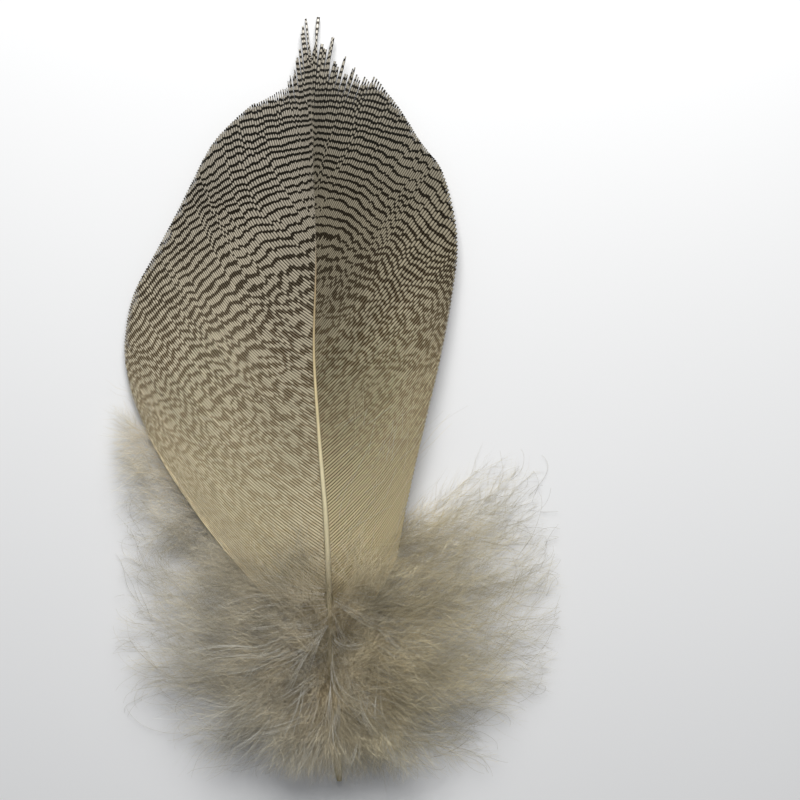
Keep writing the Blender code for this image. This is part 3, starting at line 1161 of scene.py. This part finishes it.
    def axes(self, points: list[Vector], station: int,
             roll: float) -> tuple[Vector, Vector, Vector]:
        """Find a barb's own axes at a station.

        Args:
            points: The barb's points.
            station: The station's number.
            roll: How far the barb is rolled about its length, in radians.

        Returns:
            Its way, the line across it and the line out of the vane.
        """
        point = points[station]
        way = (points[min(station + 1, self.stations)] - points[max(station - 1, 0)]).normalized()
        level = way.cross(UP).normalized()
        beyond = FORM.on_vane(point.x + level.x, point.y + level.y) - FORM.on_vane(point.x, point.y)
        level = (beyond - way * beyond.dot(way)).normalized()
        normal = level.cross(way).normalized()
        turned = level * math.cos(roll) + normal * math.sin(roll)
        return way, turned, normal * math.cos(roll) - level * math.sin(roll)

    def half_width(self, root: float, along: float, spread: float, open_from: float) -> float:
        """Work out how wide a barb is, half of it.

        Args:
            root: Where the barb leaves the shaft.
            along: How far along it the place is.
            spread: The way to the next barb.
            open_from: How far along the barbs part.

        Returns:
            The half width, narrower where the barb is free.
        """
        width = min(spread, self.widest) * self.overlap / 2
        if along > open_from:
            thirds = 3 * (1.0 - along) / (1.0 - open_from)
            free = smooth(self.open_width, root)
            shoulder = free + (1.0 - free) * max(0.0, thirds - 2) ** self.shoulder_power
            width *= max(shoulder * min(1.0, thirds), smooth(self.end_width, root))
        return width

    def add_barb(self, lines: GuideLines, number: int, phases: list[float],
                 dice: random.Random) -> None:
        """Add a barb to the lines, with its width, its ridge and its tilt.

        Args:
            lines: The lines to add to.
            number: The barb's number.
            phases: The bars' phase at each point.
            dice: The vane's own random numbers.
        """
        points, root = self.plans[number], self.root_of(number)
        before = self.plans[max(number - 1, 0)]
        after = self.plans[min(number + 1, self.barbs - 1)]
        pale, end = number < self.pale_barbs, number in (0, self.barbs - 1)
        open_from = smooth(self.open_from, root) + dice.uniform(-self.open_spread, self.open_spread)
        roll = math.radians(dice.uniform(-self.rolls, self.rolls))
        tone = dice.uniform(*(self.pale_tones if pale else self.tones))
        across, rise, rates, tones = [], [], [], []
        for station in range(len(points)):
            along = self.along(station)
            low, high = max(station - 1, 0), min(station + 1, self.stations)
            rate = abs(phases[high] - phases[low]) / (points[high] - points[low]).length
            rates.append(max(rate, self.least_rate))
            way, level, normal = self.axes(points, station, roll)
            gap = after[station] - before[station]
            spread = (gap - way * gap.dot(way)).length * (1.0 if end else 0.5)
            crowded = clamp((self.crowded_below - spread) / self.crowded_over)
            # Painted highlight: bright flecks along the palest barbs.
            highlight = self.highlight_fleck * wander(along * self.highlight_fleck_rate, number) if pale else 0.0
            tones.append(tone + highlight + self.alternate * crowded * (1 if number % 2 else -1))
            width = self.half_width(root, along, spread, open_from)
            ridge = self.ridge_root + (self.ridge_tip - self.ridge_root) * along
            across.append(level * max(width, self.finest))
            rise.append(normal * min(ridge, self.steepest * width))
        lines.add(points, across=across, rise=rise, pattern=phases, rate=rates, tone=tones)


@dataclass
class Shaft:
    """The quill and the tapering shaft."""

    radius: Keys = ((-46, 0.30), (-44.5, 0.50), (-36, 0.50), (-24, 0.40), (-12, 0.32),
                    (-2, 0.22), (10, 0.14), (20, 0.08), (31, 0.035))
    above_vane: Keys = ((-46, 0.10), (4, 0.10), (12, 0.05), (17, -0.05), (22, -0.10),
                        (31, -0.10))
    end: float = 31.0
    rings: int = 120
    sides: int = 14

    def make(self, sweep: SweepTree, material: bpy.types.Material) -> None:
        """Build the shaft as one round tube along the arch.

        Args:
            sweep: The tree that sweeps it.
            material: Its finish.
        """
        first = FORM.shaft_line[0][0]
        shares = [ring / self.rings for ring in range(self.rings + 1)]
        levels = [first + (self.end - first) * share for share in shares]
        radii = [smooth(self.radius, y) for y in levels]
        lines = GuideLines()
        points = [Vector((FORM.shaft_x(y), y, FORM.arch(y) + smooth(self.above_vane, y)))
                  for y in levels]
        lines.add(points, across=[Vector((radius, 0.0, 0.0)) for radius in radii],
                  rise=[UP * radius for radius in radii], pattern=shares)
        piece = sweep.grow(lines, "shaft", (-5.0, -47.0, 3.0, 32.0), material,
                           Section=section_object("shaft_section", circle(self.sides)))
        piece.data.shade_smooth()
        hand_over(piece)


@dataclass(frozen=True)
class DownLayer:
    """One layer of the CAD's locks on each side, and how many barbs each lock holds."""

    name: str
    locks: int
    root_top: float
    root_bottom: float
    reach: float
    heights: Keys
    barbs: int
    spacing: float
    turned: float = 0.0


@dataclass(frozen=True)
class Strands:
    """A family of loose barbs, and the ranges that the form of each is drawn from.

    A root is a place along the shaft, off is how far beside it a barb starts, and the
    height is where it rises or sinks to. Headings, from +Y towards the barb's side, and
    bends are in degrees. A barb wavers about its bend, so far and so often.
    """

    count: int
    root: Span
    off: Span
    heading: Span
    length: Span
    bend: Span
    height: Span
    tone: Span
    thick: float = 0.024
    waver: Span = (0.6, 2)
    bend_power: float = 1.0


@dataclass
class Down:
    """The down around the lower shaft, in layers of locks as the CAD has them.

    Clumps hang over the quill, a veil crosses above the shaft, a fringe blows out from
    the vanes, wisps curl out at the rim, silk flows over the down and lint lies on the
    right vane. The silk's own turn is in radians.
    """

    length: Keys = ((0, 25), (0.3, 30), (0.6, 27.5), (0.85, 19.5), (1, 10))
    own_length: Span = (0.93, 1)
    angle: Keys = ((0, 64), (0.5, 82), (0.8, 98), (1, 122))
    angle_spread: float = 6.0
    bend: float = 34.0
    half_width: Keys = ((0, 0.9), (0.35, 1.9), (0.7, 1.6), (1, 0.3))
    flatness: float = 0.5
    uneven: float = 0.35
    lock_stations: int = 5
    right_fuller: float = 1.08
    right_later: float = 0.35
    fullness: Span = (0.86, 1.08)
    root_past_middle: float = 0.25
    cad_seed: int = 12
    stations: int = 12
    barbule_length: Keys = ((0, 1.6), (0.15, 3.4), (0.6, 4.4), (0.9, 3.6), (1, 2.2))
    barbule_thick: float = 0.014
    barbule_typical: float = 3.6
    barbule_bend: float = 0.30
    fan_out: float = 2.0
    sway: float = 1.9
    sway_rate: float = 3.2
    curl_most: float = 1.6
    curl_power: float = 1.5
    settled: float = 0.8
    full_reach: float = 0.99
    short_by: float = 0.55
    short_power: float = 1.4
    barb_tones: Span = (0.78, 1.12)
    barb_thick: float = 0.024
    barb_tip: float = 0.011
    free_barbs: int = 6
    top_barbs: int = 9
    top_share: float = 0.16
    lean: float = 0.7
    stem_tone: float = 1.06
    side_limit: float = 27.2
    low_limit: float = -45.4
    heights: Span = (0.12, 6.4)
    room: tuple[Span, Span] = ((47.2, 5.5), (29.2, 5.2))
    veil_spacing: float = 0.215
    stray: float = 1.9
    stray_scale: float = 900.0
    floor: float = 0.01
    ceiling: float = 7.4
    hanging_barbs: int = 8
    clump_spread: float = 0.9
    clump_rise: float = 0.9
    clump_turn: float = 7.0
    clump_lengths: Span = (0.6, 1)
    clump_tones: Span = (0.92, 1.08)
    veil_back_below: float = -31.0
    veil_back: float = 0.45
    veil_lift: float = 0.45
    veil_arc: float = 0.85
    veil_power: float = 0.8
    right_fringe_every: int = 8
    fringe_power: float = 0.6
    fringe_sunk: float = 0.3
    silk_fibres: int = 6
    silk_power: float = 1.5
    silk_spread: Span = (0.4, 1.7)
    silk_turn: float = 0.12
    silk_stagger: float = 0.6
    silk_lengths: Span = (0.65, 1.05)
    silk_lowest: float = 2.6
    silk_start: float = 0.15
    silk_angle: Keys = ((0, 104), (0.4, 124), (0.7, 142), (1, 162))
    lint_edge: float = 6.5
    lint_edge_slope: float = 0.27
    lint_edge_from: float = -18.0
    lint_steps: int = 4
    hanging: Strands = Strands(22, (-38, -24), (-1.5, 6.5), (118, 182), (9, 19), (-45, 45),
                               (3, 6.3), (0.82, 1.25))
    crossing: Strands = Strands(7, (-33, -33), (-0.4, -2.2), (158, 176), (13.5, 13.5), (0, 0),
                                (3.4, 5.6), (0.82, 1.25))
    veil: Strands = Strands(120, (-42.5, -25.5), (-0.8, 0.8), (8, 75), (6, 16), (-50, 50),
                            (1.2, 3), (0.85, 1.15), waver=(0.5, 2.5))
    fringe: Strands = Strands(112, (-30, -27), (0.25, 0.97), (10, 90), (4, 11), (-50, 50),
                              (0.6, 2.4), (1.1, 1.4), thick=0.018, waver=(0.5, 2.2))
    wisps: Strands = Strands(215, (0, 1), (-0.6, 0.9), (-45.8366, 45.8366), (2.5, 8.5),
                             (-137.51, 137.51), (0, 0), (0.5, 0.8), thick=0.016, waver=(0.4, 2),
                             bend_power=2.0)
    silk: Strands = Strands(110, (-23, -40), (0, 7), (-26, 26), (9, 21), (-60, 40),
                            (4.8, 6.4), (1.35, 1.85), thick=0.026)
    lint: Strands = Strands(90, (-26, -2), (-1, 11), (5, 62), (2, 6.5), (-7, 7),
                            (0.10, 0.30), (1.2, 1.6), thick=0.014)
    layers: tuple[DownLayer, ...] = (
        DownLayer("lower", 8, -17, -39.5, 1, ((0, 2.2), (0.35, 0.75), (0.7, 0.55), (1, 0.5)),
                  5, 0.27),
        DownLayer("middle", 8, -18.6, -38, 0.95, ((0, 3), (0.35, 3.3), (0.7, 2.6), (1, 1.7)),
                  5, 0.23),
        DownLayer("upper", 6, -24.5, -37.5, 0.8, ((0, 3.6), (0.35, 5.6), (0.7, 5.3), (1, 3.9)),
                  8, 0.215),
        DownLayer("over_shaft", 4, -23.5, -35.5, 0.42,
                  ((0, 3.9), (0.35, 5.9), (0.7, 6.3), (1, 5.6)), 8, 0.215, turned=-42),
    )
    dice: random.Random = field(default_factory=lambda: random.Random(70))

    def lock_path(self, side: Side, place: float, layer: DownLayer,
                  dice: random.Random) -> list[Vector]:
        """Lay out one lock as the CAD does.

        Args:
            side: The side of the shaft.
            place: 0 at the lock nearest the tip and 1 at the one nearest the quill's end.
            layer: The layer that it is in.
            dice: The random numbers, the CAD's own for its locks.

        Returns:
            Its points from inside the shaft outwards.
        """
        root_y = layer.root_top + (layer.root_bottom - layer.root_top) * place
        length = smooth(self.length, place) * layer.reach * dice.uniform(*self.own_length)
        if side is Side.RIGHT:
            length *= self.right_fuller
        spread = dice.uniform(-self.angle_spread, self.angle_spread)
        heading = smooth(self.angle, place) + layer.turned + self.bend / 2 + spread
        lift = dice.uniform(-self.uneven, self.uneven)
        spot = Vector((FORM.shaft_x(root_y) - side.value * self.root_past_middle, root_y, 0.0))
        points = []
        for station in range(self.lock_stations + 1):
            along = station / self.lock_stations
            points.append(Vector((spot.x, spot.y, smooth(layer.heights, along) + lift * along)))
            turn = math.radians(heading - self.bend * along)
            step = Vector((side.value * math.sin(turn), math.cos(turn), 0.0))
            spot += step * (length / self.lock_stations)
        points[0].z = FORM.arch(root_y)
        return points

    def add_barb(self, lines: GuideLines, points: list[Vector], tones: Span, thick: float) -> None:
        """Add one loose barb, held inside the feather's box.

        Args:
            lines: The lines to add to.
            points: Its points.
            tones: The range that its lightness is drawn from.
            thick: Its half thickness at the root.
        """
        tone = self.dice.uniform(*tones)
        low, high = self.heights
        kept = []
        for point in points:
            if abs(point.x) > self.side_limit or point.y < self.low_limit:
                break
            kept.append(Vector((point.x, point.y, clamp(point.z, low, high))))
        last = len(kept) - 1
        if last < 2:
            return
        (end, end_over), (side, side_over) = self.room
        across, rise, barbule = [], [], []
        for number, point in enumerate(kept):
            along = number / last
            way = kept[min(number + 1, last)] - kept[max(number - 1, 0)]
            here = thick + (self.barb_tip - thick) * along
            across.append(way.cross(UP).normalized() * here)
            rise.append(UP * here)
            room = min(1.0, (point.y + end) / end_over, (side - abs(point.x)) / side_over)
            barbule.append(smooth(self.barbule_length, along) * room * MM)
        lines.add(kept, across=across, rise=rise, barbule=barbule, tone=[tone] * len(kept),
                  pattern=[number / last for number in range(len(kept))])

    def add_barbs(self, lines: GuideLines, path: list[Vector], count: int, fullness: float) -> None:
        """Add the loose barbs of one lock.

        Args:
            lines: The lines to add to.
            path: The lock's own path.
            count: How many barbs it has.
            fullness: How full the lock is.
        """
        dice = self.dice
        tracks = [tuple((k / self.lock_stations, point[axis]) for k, point in enumerate(path))
                  for axis in range(3)]
        for _ in range(count):
            turn, out = dice.uniform(0.0, math.tau), math.sqrt(dice.random())
            reach = self.full_reach - self.short_by * dice.random() ** self.short_power
            curl = clamp(dice.gauss(0.0, 1.0), -self.curl_most, self.curl_most)
            track = dice.uniform(*TRACKS)
            points = []
            for station in range(self.stations + 1):
                along = station / self.stations
                at = along * reach
                point, ahead, behind = (Vector([smooth(keys, place) for keys in tracks])
                                        for place in (at, at + 0.02, at - 0.02))
                beside = (ahead - behind).cross(UP).normalized()
                half = smooth(self.half_width, at) * fullness * out
                sway = (self.sway * along * wander(along * self.sway_rate, track)
                        + self.fan_out * curl * along ** self.curl_power)
                point += beside * (half * math.cos(turn) + sway)
                point.z += half * self.flatness * math.sin(turn) * self.settled
                points.append(point)
            self.add_barb(lines, points, self.barb_tones, self.barb_thick)

    def add_strand(self, lines: GuideLines, family: Strands, spot: Vector,
                   course: tuple[float, ...], height: Callable[[float, float], float],
                   aside: float = 0.0) -> None:
        """Add one loose barb that starts at a spot, bends and wavers.

        Args:
            lines: The lines to add to.
            family: The family that it is in.
            spot: Where it starts, seen from above.
            course: The sign of X on its side, its heading, bend and length, and the track
                that it wavers on, with angles in radians.
            height: Its height, from how far along a point is and the point's Y.
            aside: How far it parts from its bundle towards its end.
        """
        side, heading, bend, length, track = course
        waver, often = family.waver
        points = []
        for station in range(self.stations + 1):
            along = station / self.stations
            turn = heading + bend * along ** family.bend_power
            turn += waver * wander(along * often, track)
            beside = Vector((-side * math.cos(turn), math.sin(turn), 0.0)) * (aside * along)
            points.append(Vector((spot.x, spot.y, height(along, spot.y))) + beside)
            ahead = Vector((side * math.sin(turn), math.cos(turn), 0.0))
            spot = spot + ahead * (length / self.stations)
        self.add_barb(lines, points, family.tone, family.thick)

    def add_hanging(self, lines: GuideLines) -> None:
        """Add the clumps that sweep down over the quill and on both sides of it.

        Args:
            lines: The lines to add to.
        """
        draw, family, crossing = self.dice.uniform, self.hanging, self.crossing
        for number in range(family.count):
            side = 1 if number % 2 else -1
            root_y, off = draw(*family.root), side * draw(*family.off)
            heading = draw(*family.heading)
            bend, track = math.radians(draw(*family.bend)), draw(*TRACKS)
            length, top, tone = draw(*family.length), draw(*family.height), draw(*family.tone)
            if number < crossing.count:
                root_y, bend, length = crossing.root[0], 0.0, crossing.length[0]
                off, heading = side * draw(*crossing.off), draw(*crossing.heading)
                top = draw(*crossing.height)
            low = FORM.arch(root_y)
            clump = replace(family, tone=tuple(tone * own for own in self.clump_tones))
            spread = self.clump_spread
            for _ in range(self.hanging_barbs):
                spot = Vector((FORM.shaft_x(root_y) + off, root_y, 0.0))
                spot += Vector((draw(-spread, spread), draw(-spread, spread), 0.0))
                own = math.radians(heading + self.dice.gauss(0.0, self.clump_turn))
                course = (side, own, bend, length * draw(*self.clump_lengths), track)
                self.add_strand(lines, clump, spot, course, lambda along, _: (
                    low + (top - low) * along + self.clump_rise * math.sin(math.pi * along)))

    def add_veil(self, lines: GuideLines) -> None:
        """Add the loose barbs that cross above the lower shaft.

        Args:
            lines: The lines to add to.
        """
        draw, family = self.dice.uniform, self.veil
        for _ in range(family.count):
            root_y = draw(*family.root)
            heading = math.radians(self.dice.choice((-1, 1)) * draw(*family.heading))
            if root_y < self.veil_back_below and self.dice.random() < self.veil_back:
                heading = math.pi - heading
            bend = math.radians(draw(*family.bend))
            length, top = draw(*family.length), draw(*family.height)
            spot = Vector((FORM.shaft_x(root_y) + draw(*family.off), root_y, 0.0))
            course = (1, heading, bend, length, draw(*TRACKS))
            self.add_strand(lines, family, spot, course, lambda along, y: (
                FORM.arch(y) + self.veil_lift
                + top * math.sin(self.veil_arc * math.pi * along) ** self.veil_power))

    def add_fringe(self, lines: GuideLines) -> None:
        """Add the loose, downy barbs that blow out from the vanes' lower edges.

        Args:
            lines: The lines to add to.
        """
        draw, family = self.dice.uniform, self.fringe
        nearest, farthest = family.off
        for number in range(family.count):
            side = Side.LEFT if number % self.right_fringe_every else Side.RIGHT
            root_y = draw(*family.root)
            start = nearest + (farthest - nearest) * self.dice.random() ** self.fringe_power
            spot = FORM.barb_plan(side, root_y, start)
            ahead = FORM.barb_plan(side, root_y, start + 0.02) - spot
            heading = math.atan2(ahead.x, ahead.y)
            heading += side.value * math.radians(draw(*family.heading))
            bend, track = math.radians(draw(*family.bend)), draw(*TRACKS)
            length, low = draw(*family.length), draw(*family.height)
            top = FORM.on_vane(spot.x, spot.y).z - self.fringe_sunk
            self.add_strand(lines, family, spot.to_3d(), (1, heading, bend, length, track),
                            lambda along, _: top + (low - top) * along)

    def add_wisps(self, lines: GuideLines) -> None:
        """Add bare, darker hairs that curl out at the down's edge.

        Args:
            lines: The lines to add to.
        """
        dice, draw, family = self.dice, self.dice.uniform, self.wisps
        for _ in range(family.count):
            side, layer = dice.choice(tuple(Side)), self.layers[dice.randrange(3)]
            path = self.lock_path(side, dice.random(), layer, dice)
            spot = path[-2].lerp(path[-1], draw(*family.off))
            out = path[-1] - path[-2]
            heading = math.atan2(out.x, out.y) + math.radians(draw(*family.heading))
            bend, track = math.radians(draw(*family.bend)), draw(*TRACKS)
            self.add_strand(lines, family, spot, (1, heading, bend, draw(*family.length), track),
                            lambda *_: spot.z)

    def add_silk(self, lines: GuideLines) -> None:
        """Add bundles of long, pale, bare fibres that flow over the down.

        Args:
            lines: The lines to add to.
        """
        dice, draw, family = self.dice, self.dice.uniform, self.silk
        highest, lowest = family.root
        for number in range(family.count):
            side, share = 1 if number % 2 else -1, dice.random()
            root_y = highest + (lowest - highest) * share
            off = side * family.off[1] * dice.random() ** self.silk_power
            heading = math.radians(smooth(self.silk_angle, share) + draw(*family.heading))
            bend, track = math.radians(draw(*family.bend)), draw(*TRACKS)
            length, spread = draw(*family.length), draw(*self.silk_spread)
            top = draw(*family.height)
            low = FORM.arch(root_y)
            for _ in range(self.silk_fibres):
                aside, own = draw(-spread, spread), draw(-self.silk_turn, self.silk_turn)
                spot = Vector((FORM.shaft_x(root_y) + off, root_y + self.silk_stagger * aside, 0.0))
                course = (side, heading + own, bend, length * draw(*self.silk_lengths), track)
                self.add_strand(lines, family, spot, course, lambda along, _: max(
                    self.silk_lowest,
                    low + (top - low) * math.sin(math.pi * min(1, self.silk_start + along))), aside)

    def add_lint(self, lines: GuideLines) -> None:
        """Add the fine, straight, pale fibres that lie on the right vane's lower part.

        Args:
            lines: The lines to add to.
        """
        draw, family, steps = self.dice.uniform, self.lint, self.lint_steps
        low, high = family.height
        for _ in range(family.count):
            spot = Vector((draw(*family.off), draw(*family.root)))
            edge = self.lint_edge + self.lint_edge_slope * (spot.y - self.lint_edge_from)
            spot.x = min(spot.x, edge)
            heading, length = math.radians(draw(*family.heading)), draw(*family.length)
            points = []
            for station in range(steps + 1):
                above = low + (high - low) * station / steps
                points.append(FORM.on_vane(spot.x, spot.y) + UP * above)
                spot += Vector((math.sin(heading), math.cos(heading))) * (length / steps)
                heading += math.radians(draw(*family.bend))
            self.add_barb(lines, points, family.tone, family.thick)

    def add_layer(self, lines: GuideLines, layer: DownLayer, cad_dice: random.Random) -> None:
        """Add a layer's barbs, in the CAD's locks and loose between them.

        Args:
            lines: The lines to add to.
            layer: The layer.
            cad_dice: The CAD's own random numbers.
        """
        for side in Side:
            for lock in range(layer.locks):
                later = self.right_later if side is Side.RIGHT else 0.0
                place = (lock + later) / (layer.locks - 1 + self.right_later)
                path = self.lock_path(side, place, layer, cad_dice)
                self.add_barbs(lines, path, layer.barbs, cad_dice.uniform(*self.fullness))
                for _ in range(self.free_barbs):
                    between = clamp(place + self.dice.uniform(-0.5, 0.5) / layer.locks)
                    self.add_barbs(lines, self.lock_path(side, between, layer, self.dice), 1, 1.0)
            for _ in range(0 if layer.turned else self.top_barbs):
                place = self.top_share * self.dice.random() ** 2
                self.add_barbs(lines, self.lock_path(side, place, layer, self.dice), 1, 1.0)

    def make(self, sweep: SweepTree, barbules: BarbuleTree, material: bpy.types.Material) -> None:
        """Build the down, a piece for each layer and one for the barbs' stems.

        Args:
            sweep: The tree that sweeps the stems.
            barbules: The tree that sets the barbules.
            material: Their finish.
        """
        cad_dice = random.Random(self.cad_seed)
        plan = (-29.5, -46.5, 29.5, 0.0)
        spacings = {f"down_{layer.name}": layer.spacing for layer in self.layers}
        spacings["down_veil"] = self.veil_spacing
        bundles = {name: GuideLines() for name in spacings}
        for layer, lines in zip(self.layers, bundles.values()):
            self.add_layer(lines, layer, cad_dice)
        self.add_hanging(bundles["down_over_shaft"])
        self.add_veil(bundles["down_veil"])
        self.add_fringe(bundles["down_veil"])
        barbule = barbule_object(self.barbule_thick, self.barbule_typical, self.barbule_bend)
        stems = GuideLines()
        for number, (name, lines) in enumerate(bundles.items()):
            grown = barbules.grow(lines, name, plan, material, Barbule=barbule,
                                  Spacing=spacings[name] * MM, Lean=self.lean,
                                  Stray=self.stray * MM, Stray_Scale=self.stray_scale,
                                  Floor=self.floor * MM, Ceiling=self.ceiling * MM, Seed=number)
            hand_over(grown)
            stems.join(lines)
        stems.values["tone"] = [tone * self.stem_tone for tone in stems.values["tone"]]
        self.add_wisps(stems)
        self.add_silk(stems)
        self.add_lint(stems)
        grown = sweep.grow(stems, "down_stems", plan, material,
                           Section=section_object("stem_section", circle(3)))
        hand_over(grown)


@dataclass
class Studio:
    """The floor, the light and the camera."""

    floor_size: float = 2400.0
    camera_at: tuple[float, float, float] = (7.56, 0.18, 230.0)
    lens: float = 85.0
    key_at: tuple[float, float, float] = (14.0, 178.0, 192.0)
    key_size: float = 190.0
    key_power: float = 0.87
    key_colour: Colour = (1.0, 0.99, 0.97)
    room_colour: Colour = (0.90, 0.94, 1.0)
    room_strength: float = 0.19

    def make_floor(self) -> None:
        """Lay the pale floor under the feather."""
        mesh = bpy.data.meshes.new("floor")
        half = self.floor_size / 2 * MM
        corners = [(-half, -half, 0.0), (half, -half, 0.0), (half, half, 0.0), (-half, half, 0.0)]
        mesh.from_pydata(corners, [], [(0, 1, 2, 3)])
        mesh.materials.append(FloorFinish().material())
        in_scene("floor", mesh)

    def make_key(self) -> None:
        """Hang one soft lamp that looks at the feather."""
        lamp = bpy.data.lights.new("key", "AREA")
        lamp.size = self.key_size * MM
        lamp.energy = self.key_power
        lamp.color = self.key_colour
        hung = in_scene("key", lamp)
        hung.location = Vector(self.key_at) * MM
        hung.rotation_euler = (-hung.location).to_track_quat("-Z", "Y").to_euler()
        hung.visible_camera = False

    def make_camera(self) -> None:
        """Set the camera straight above, as the photograph has it."""
        lens = bpy.data.cameras.new("camera")
        lens.lens = self.lens
        lens.clip_start = 0.01
        camera = in_scene("camera", lens)
        camera.location = Vector(self.camera_at) * MM
        bpy.context.scene.camera = camera

    def make(self) -> None:
        """Set up the whole studio."""
        self.make_floor()
        self.make_camera()
        self.make_key()
        world = bpy.data.worlds.new("room")
        world.use_nodes = True
        room = world.node_tree.nodes["Background"].inputs
        room["Color"].default_value = (*self.room_colour, 1.0)
        room["Strength"].default_value = self.room_strength
        bpy.context.scene.world = world
        bpy.context.scene.view_settings.view_transform = "Standard"


RIGHT_PERIOD: Keys = ((-40, 2.1), (-10, 2.1), (3, 2), (10, 1.8), (16, 1.5), (20, 1.28),
                      (24, 1.04), (28, 0.90), (33, 0.79), (46, 0.71), (70, 0.71))
RIGHT_FALL: Keys = ((0, 0), (2, 0.45), (4, 1.3), (6, 2.5), (9, 4.5), (12, 6.5), (18, 9.6))
RIGHT_FALL_AT: Keys = ((-30, 0.6), (-5, 1), (5, 1.1), (14, 1.1), (20, 1), (26, 0.7),
                       (31, 0.42), (36, 0.3), (46, 0.15))
RIGHT_TUFTS = (Tuft(21.8, 0.96, 0.1), Tuft(22.8, 0.92, 0.2), Tuft(24, 0.95, 0.4),
               Tuft(24.8, 0.86, 0.2), Tuft(25.4, 0.96, 0.7), Tuft(26.2, 0.86, 0.2),
               Tuft(27.2, 1, 0.85), Tuft(28.2, 0.88, 0.2), Tuft(29.2, 1.04, 0.9))
RIGHT_LIGHT: Stops = (
    (0, (0.58, 0.50, 0.30)), (0.25, (0.46, 0.395, 0.24)), (0.50, (0.33, 0.285, 0.195)),
    (0.72, (0.216, 0.192, 0.142)), (0.88, (0.218, 0.199, 0.16)), (0.95, (0.37, 0.34, 0.28)),
    (1, (0.80, 0.76, 0.68)))


def main() -> None:
    """Load the frame, dress the feather and set up the studio."""
    logging.basicConfig(level=logging.INFO, format="%(name)s %(message)s")
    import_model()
    sweep = SweepTree()
    barbules = BarbuleTree()
    Vane(Side.LEFT, seed=3).make(sweep, VaneFinish().material())
    right = Vane(Side.RIGHT, seed=8, period=RIGHT_PERIOD, bar_fall=RIGHT_FALL,
                 fall_at=RIGHT_FALL_AT, tufts=RIGHT_TUFTS, short=Wave(0.08, 0.22, 6.0, 7.5),
                 tangle_width=26.0, tangle_centre=5.0, staggered=Wave(0.0, 0.95, 3.2, 2.6),
                 stagger_tilt=0.1)
    finish = VaneFinish(light=RIGHT_LIGHT, low=-26.0, broken_until=(0.60, 0.85), tangled=0.8,
                        shaded=0.30, tangle_levels=(22.0, 8.0), tangle_tilt=0.1)
    right.make(sweep, finish.material())
    Shaft().make(sweep, ShaftFinish().material())
    Down().make(sweep, barbules, DownFinish().material())
    Studio().make()


if __name__ == "__main__":
    main()
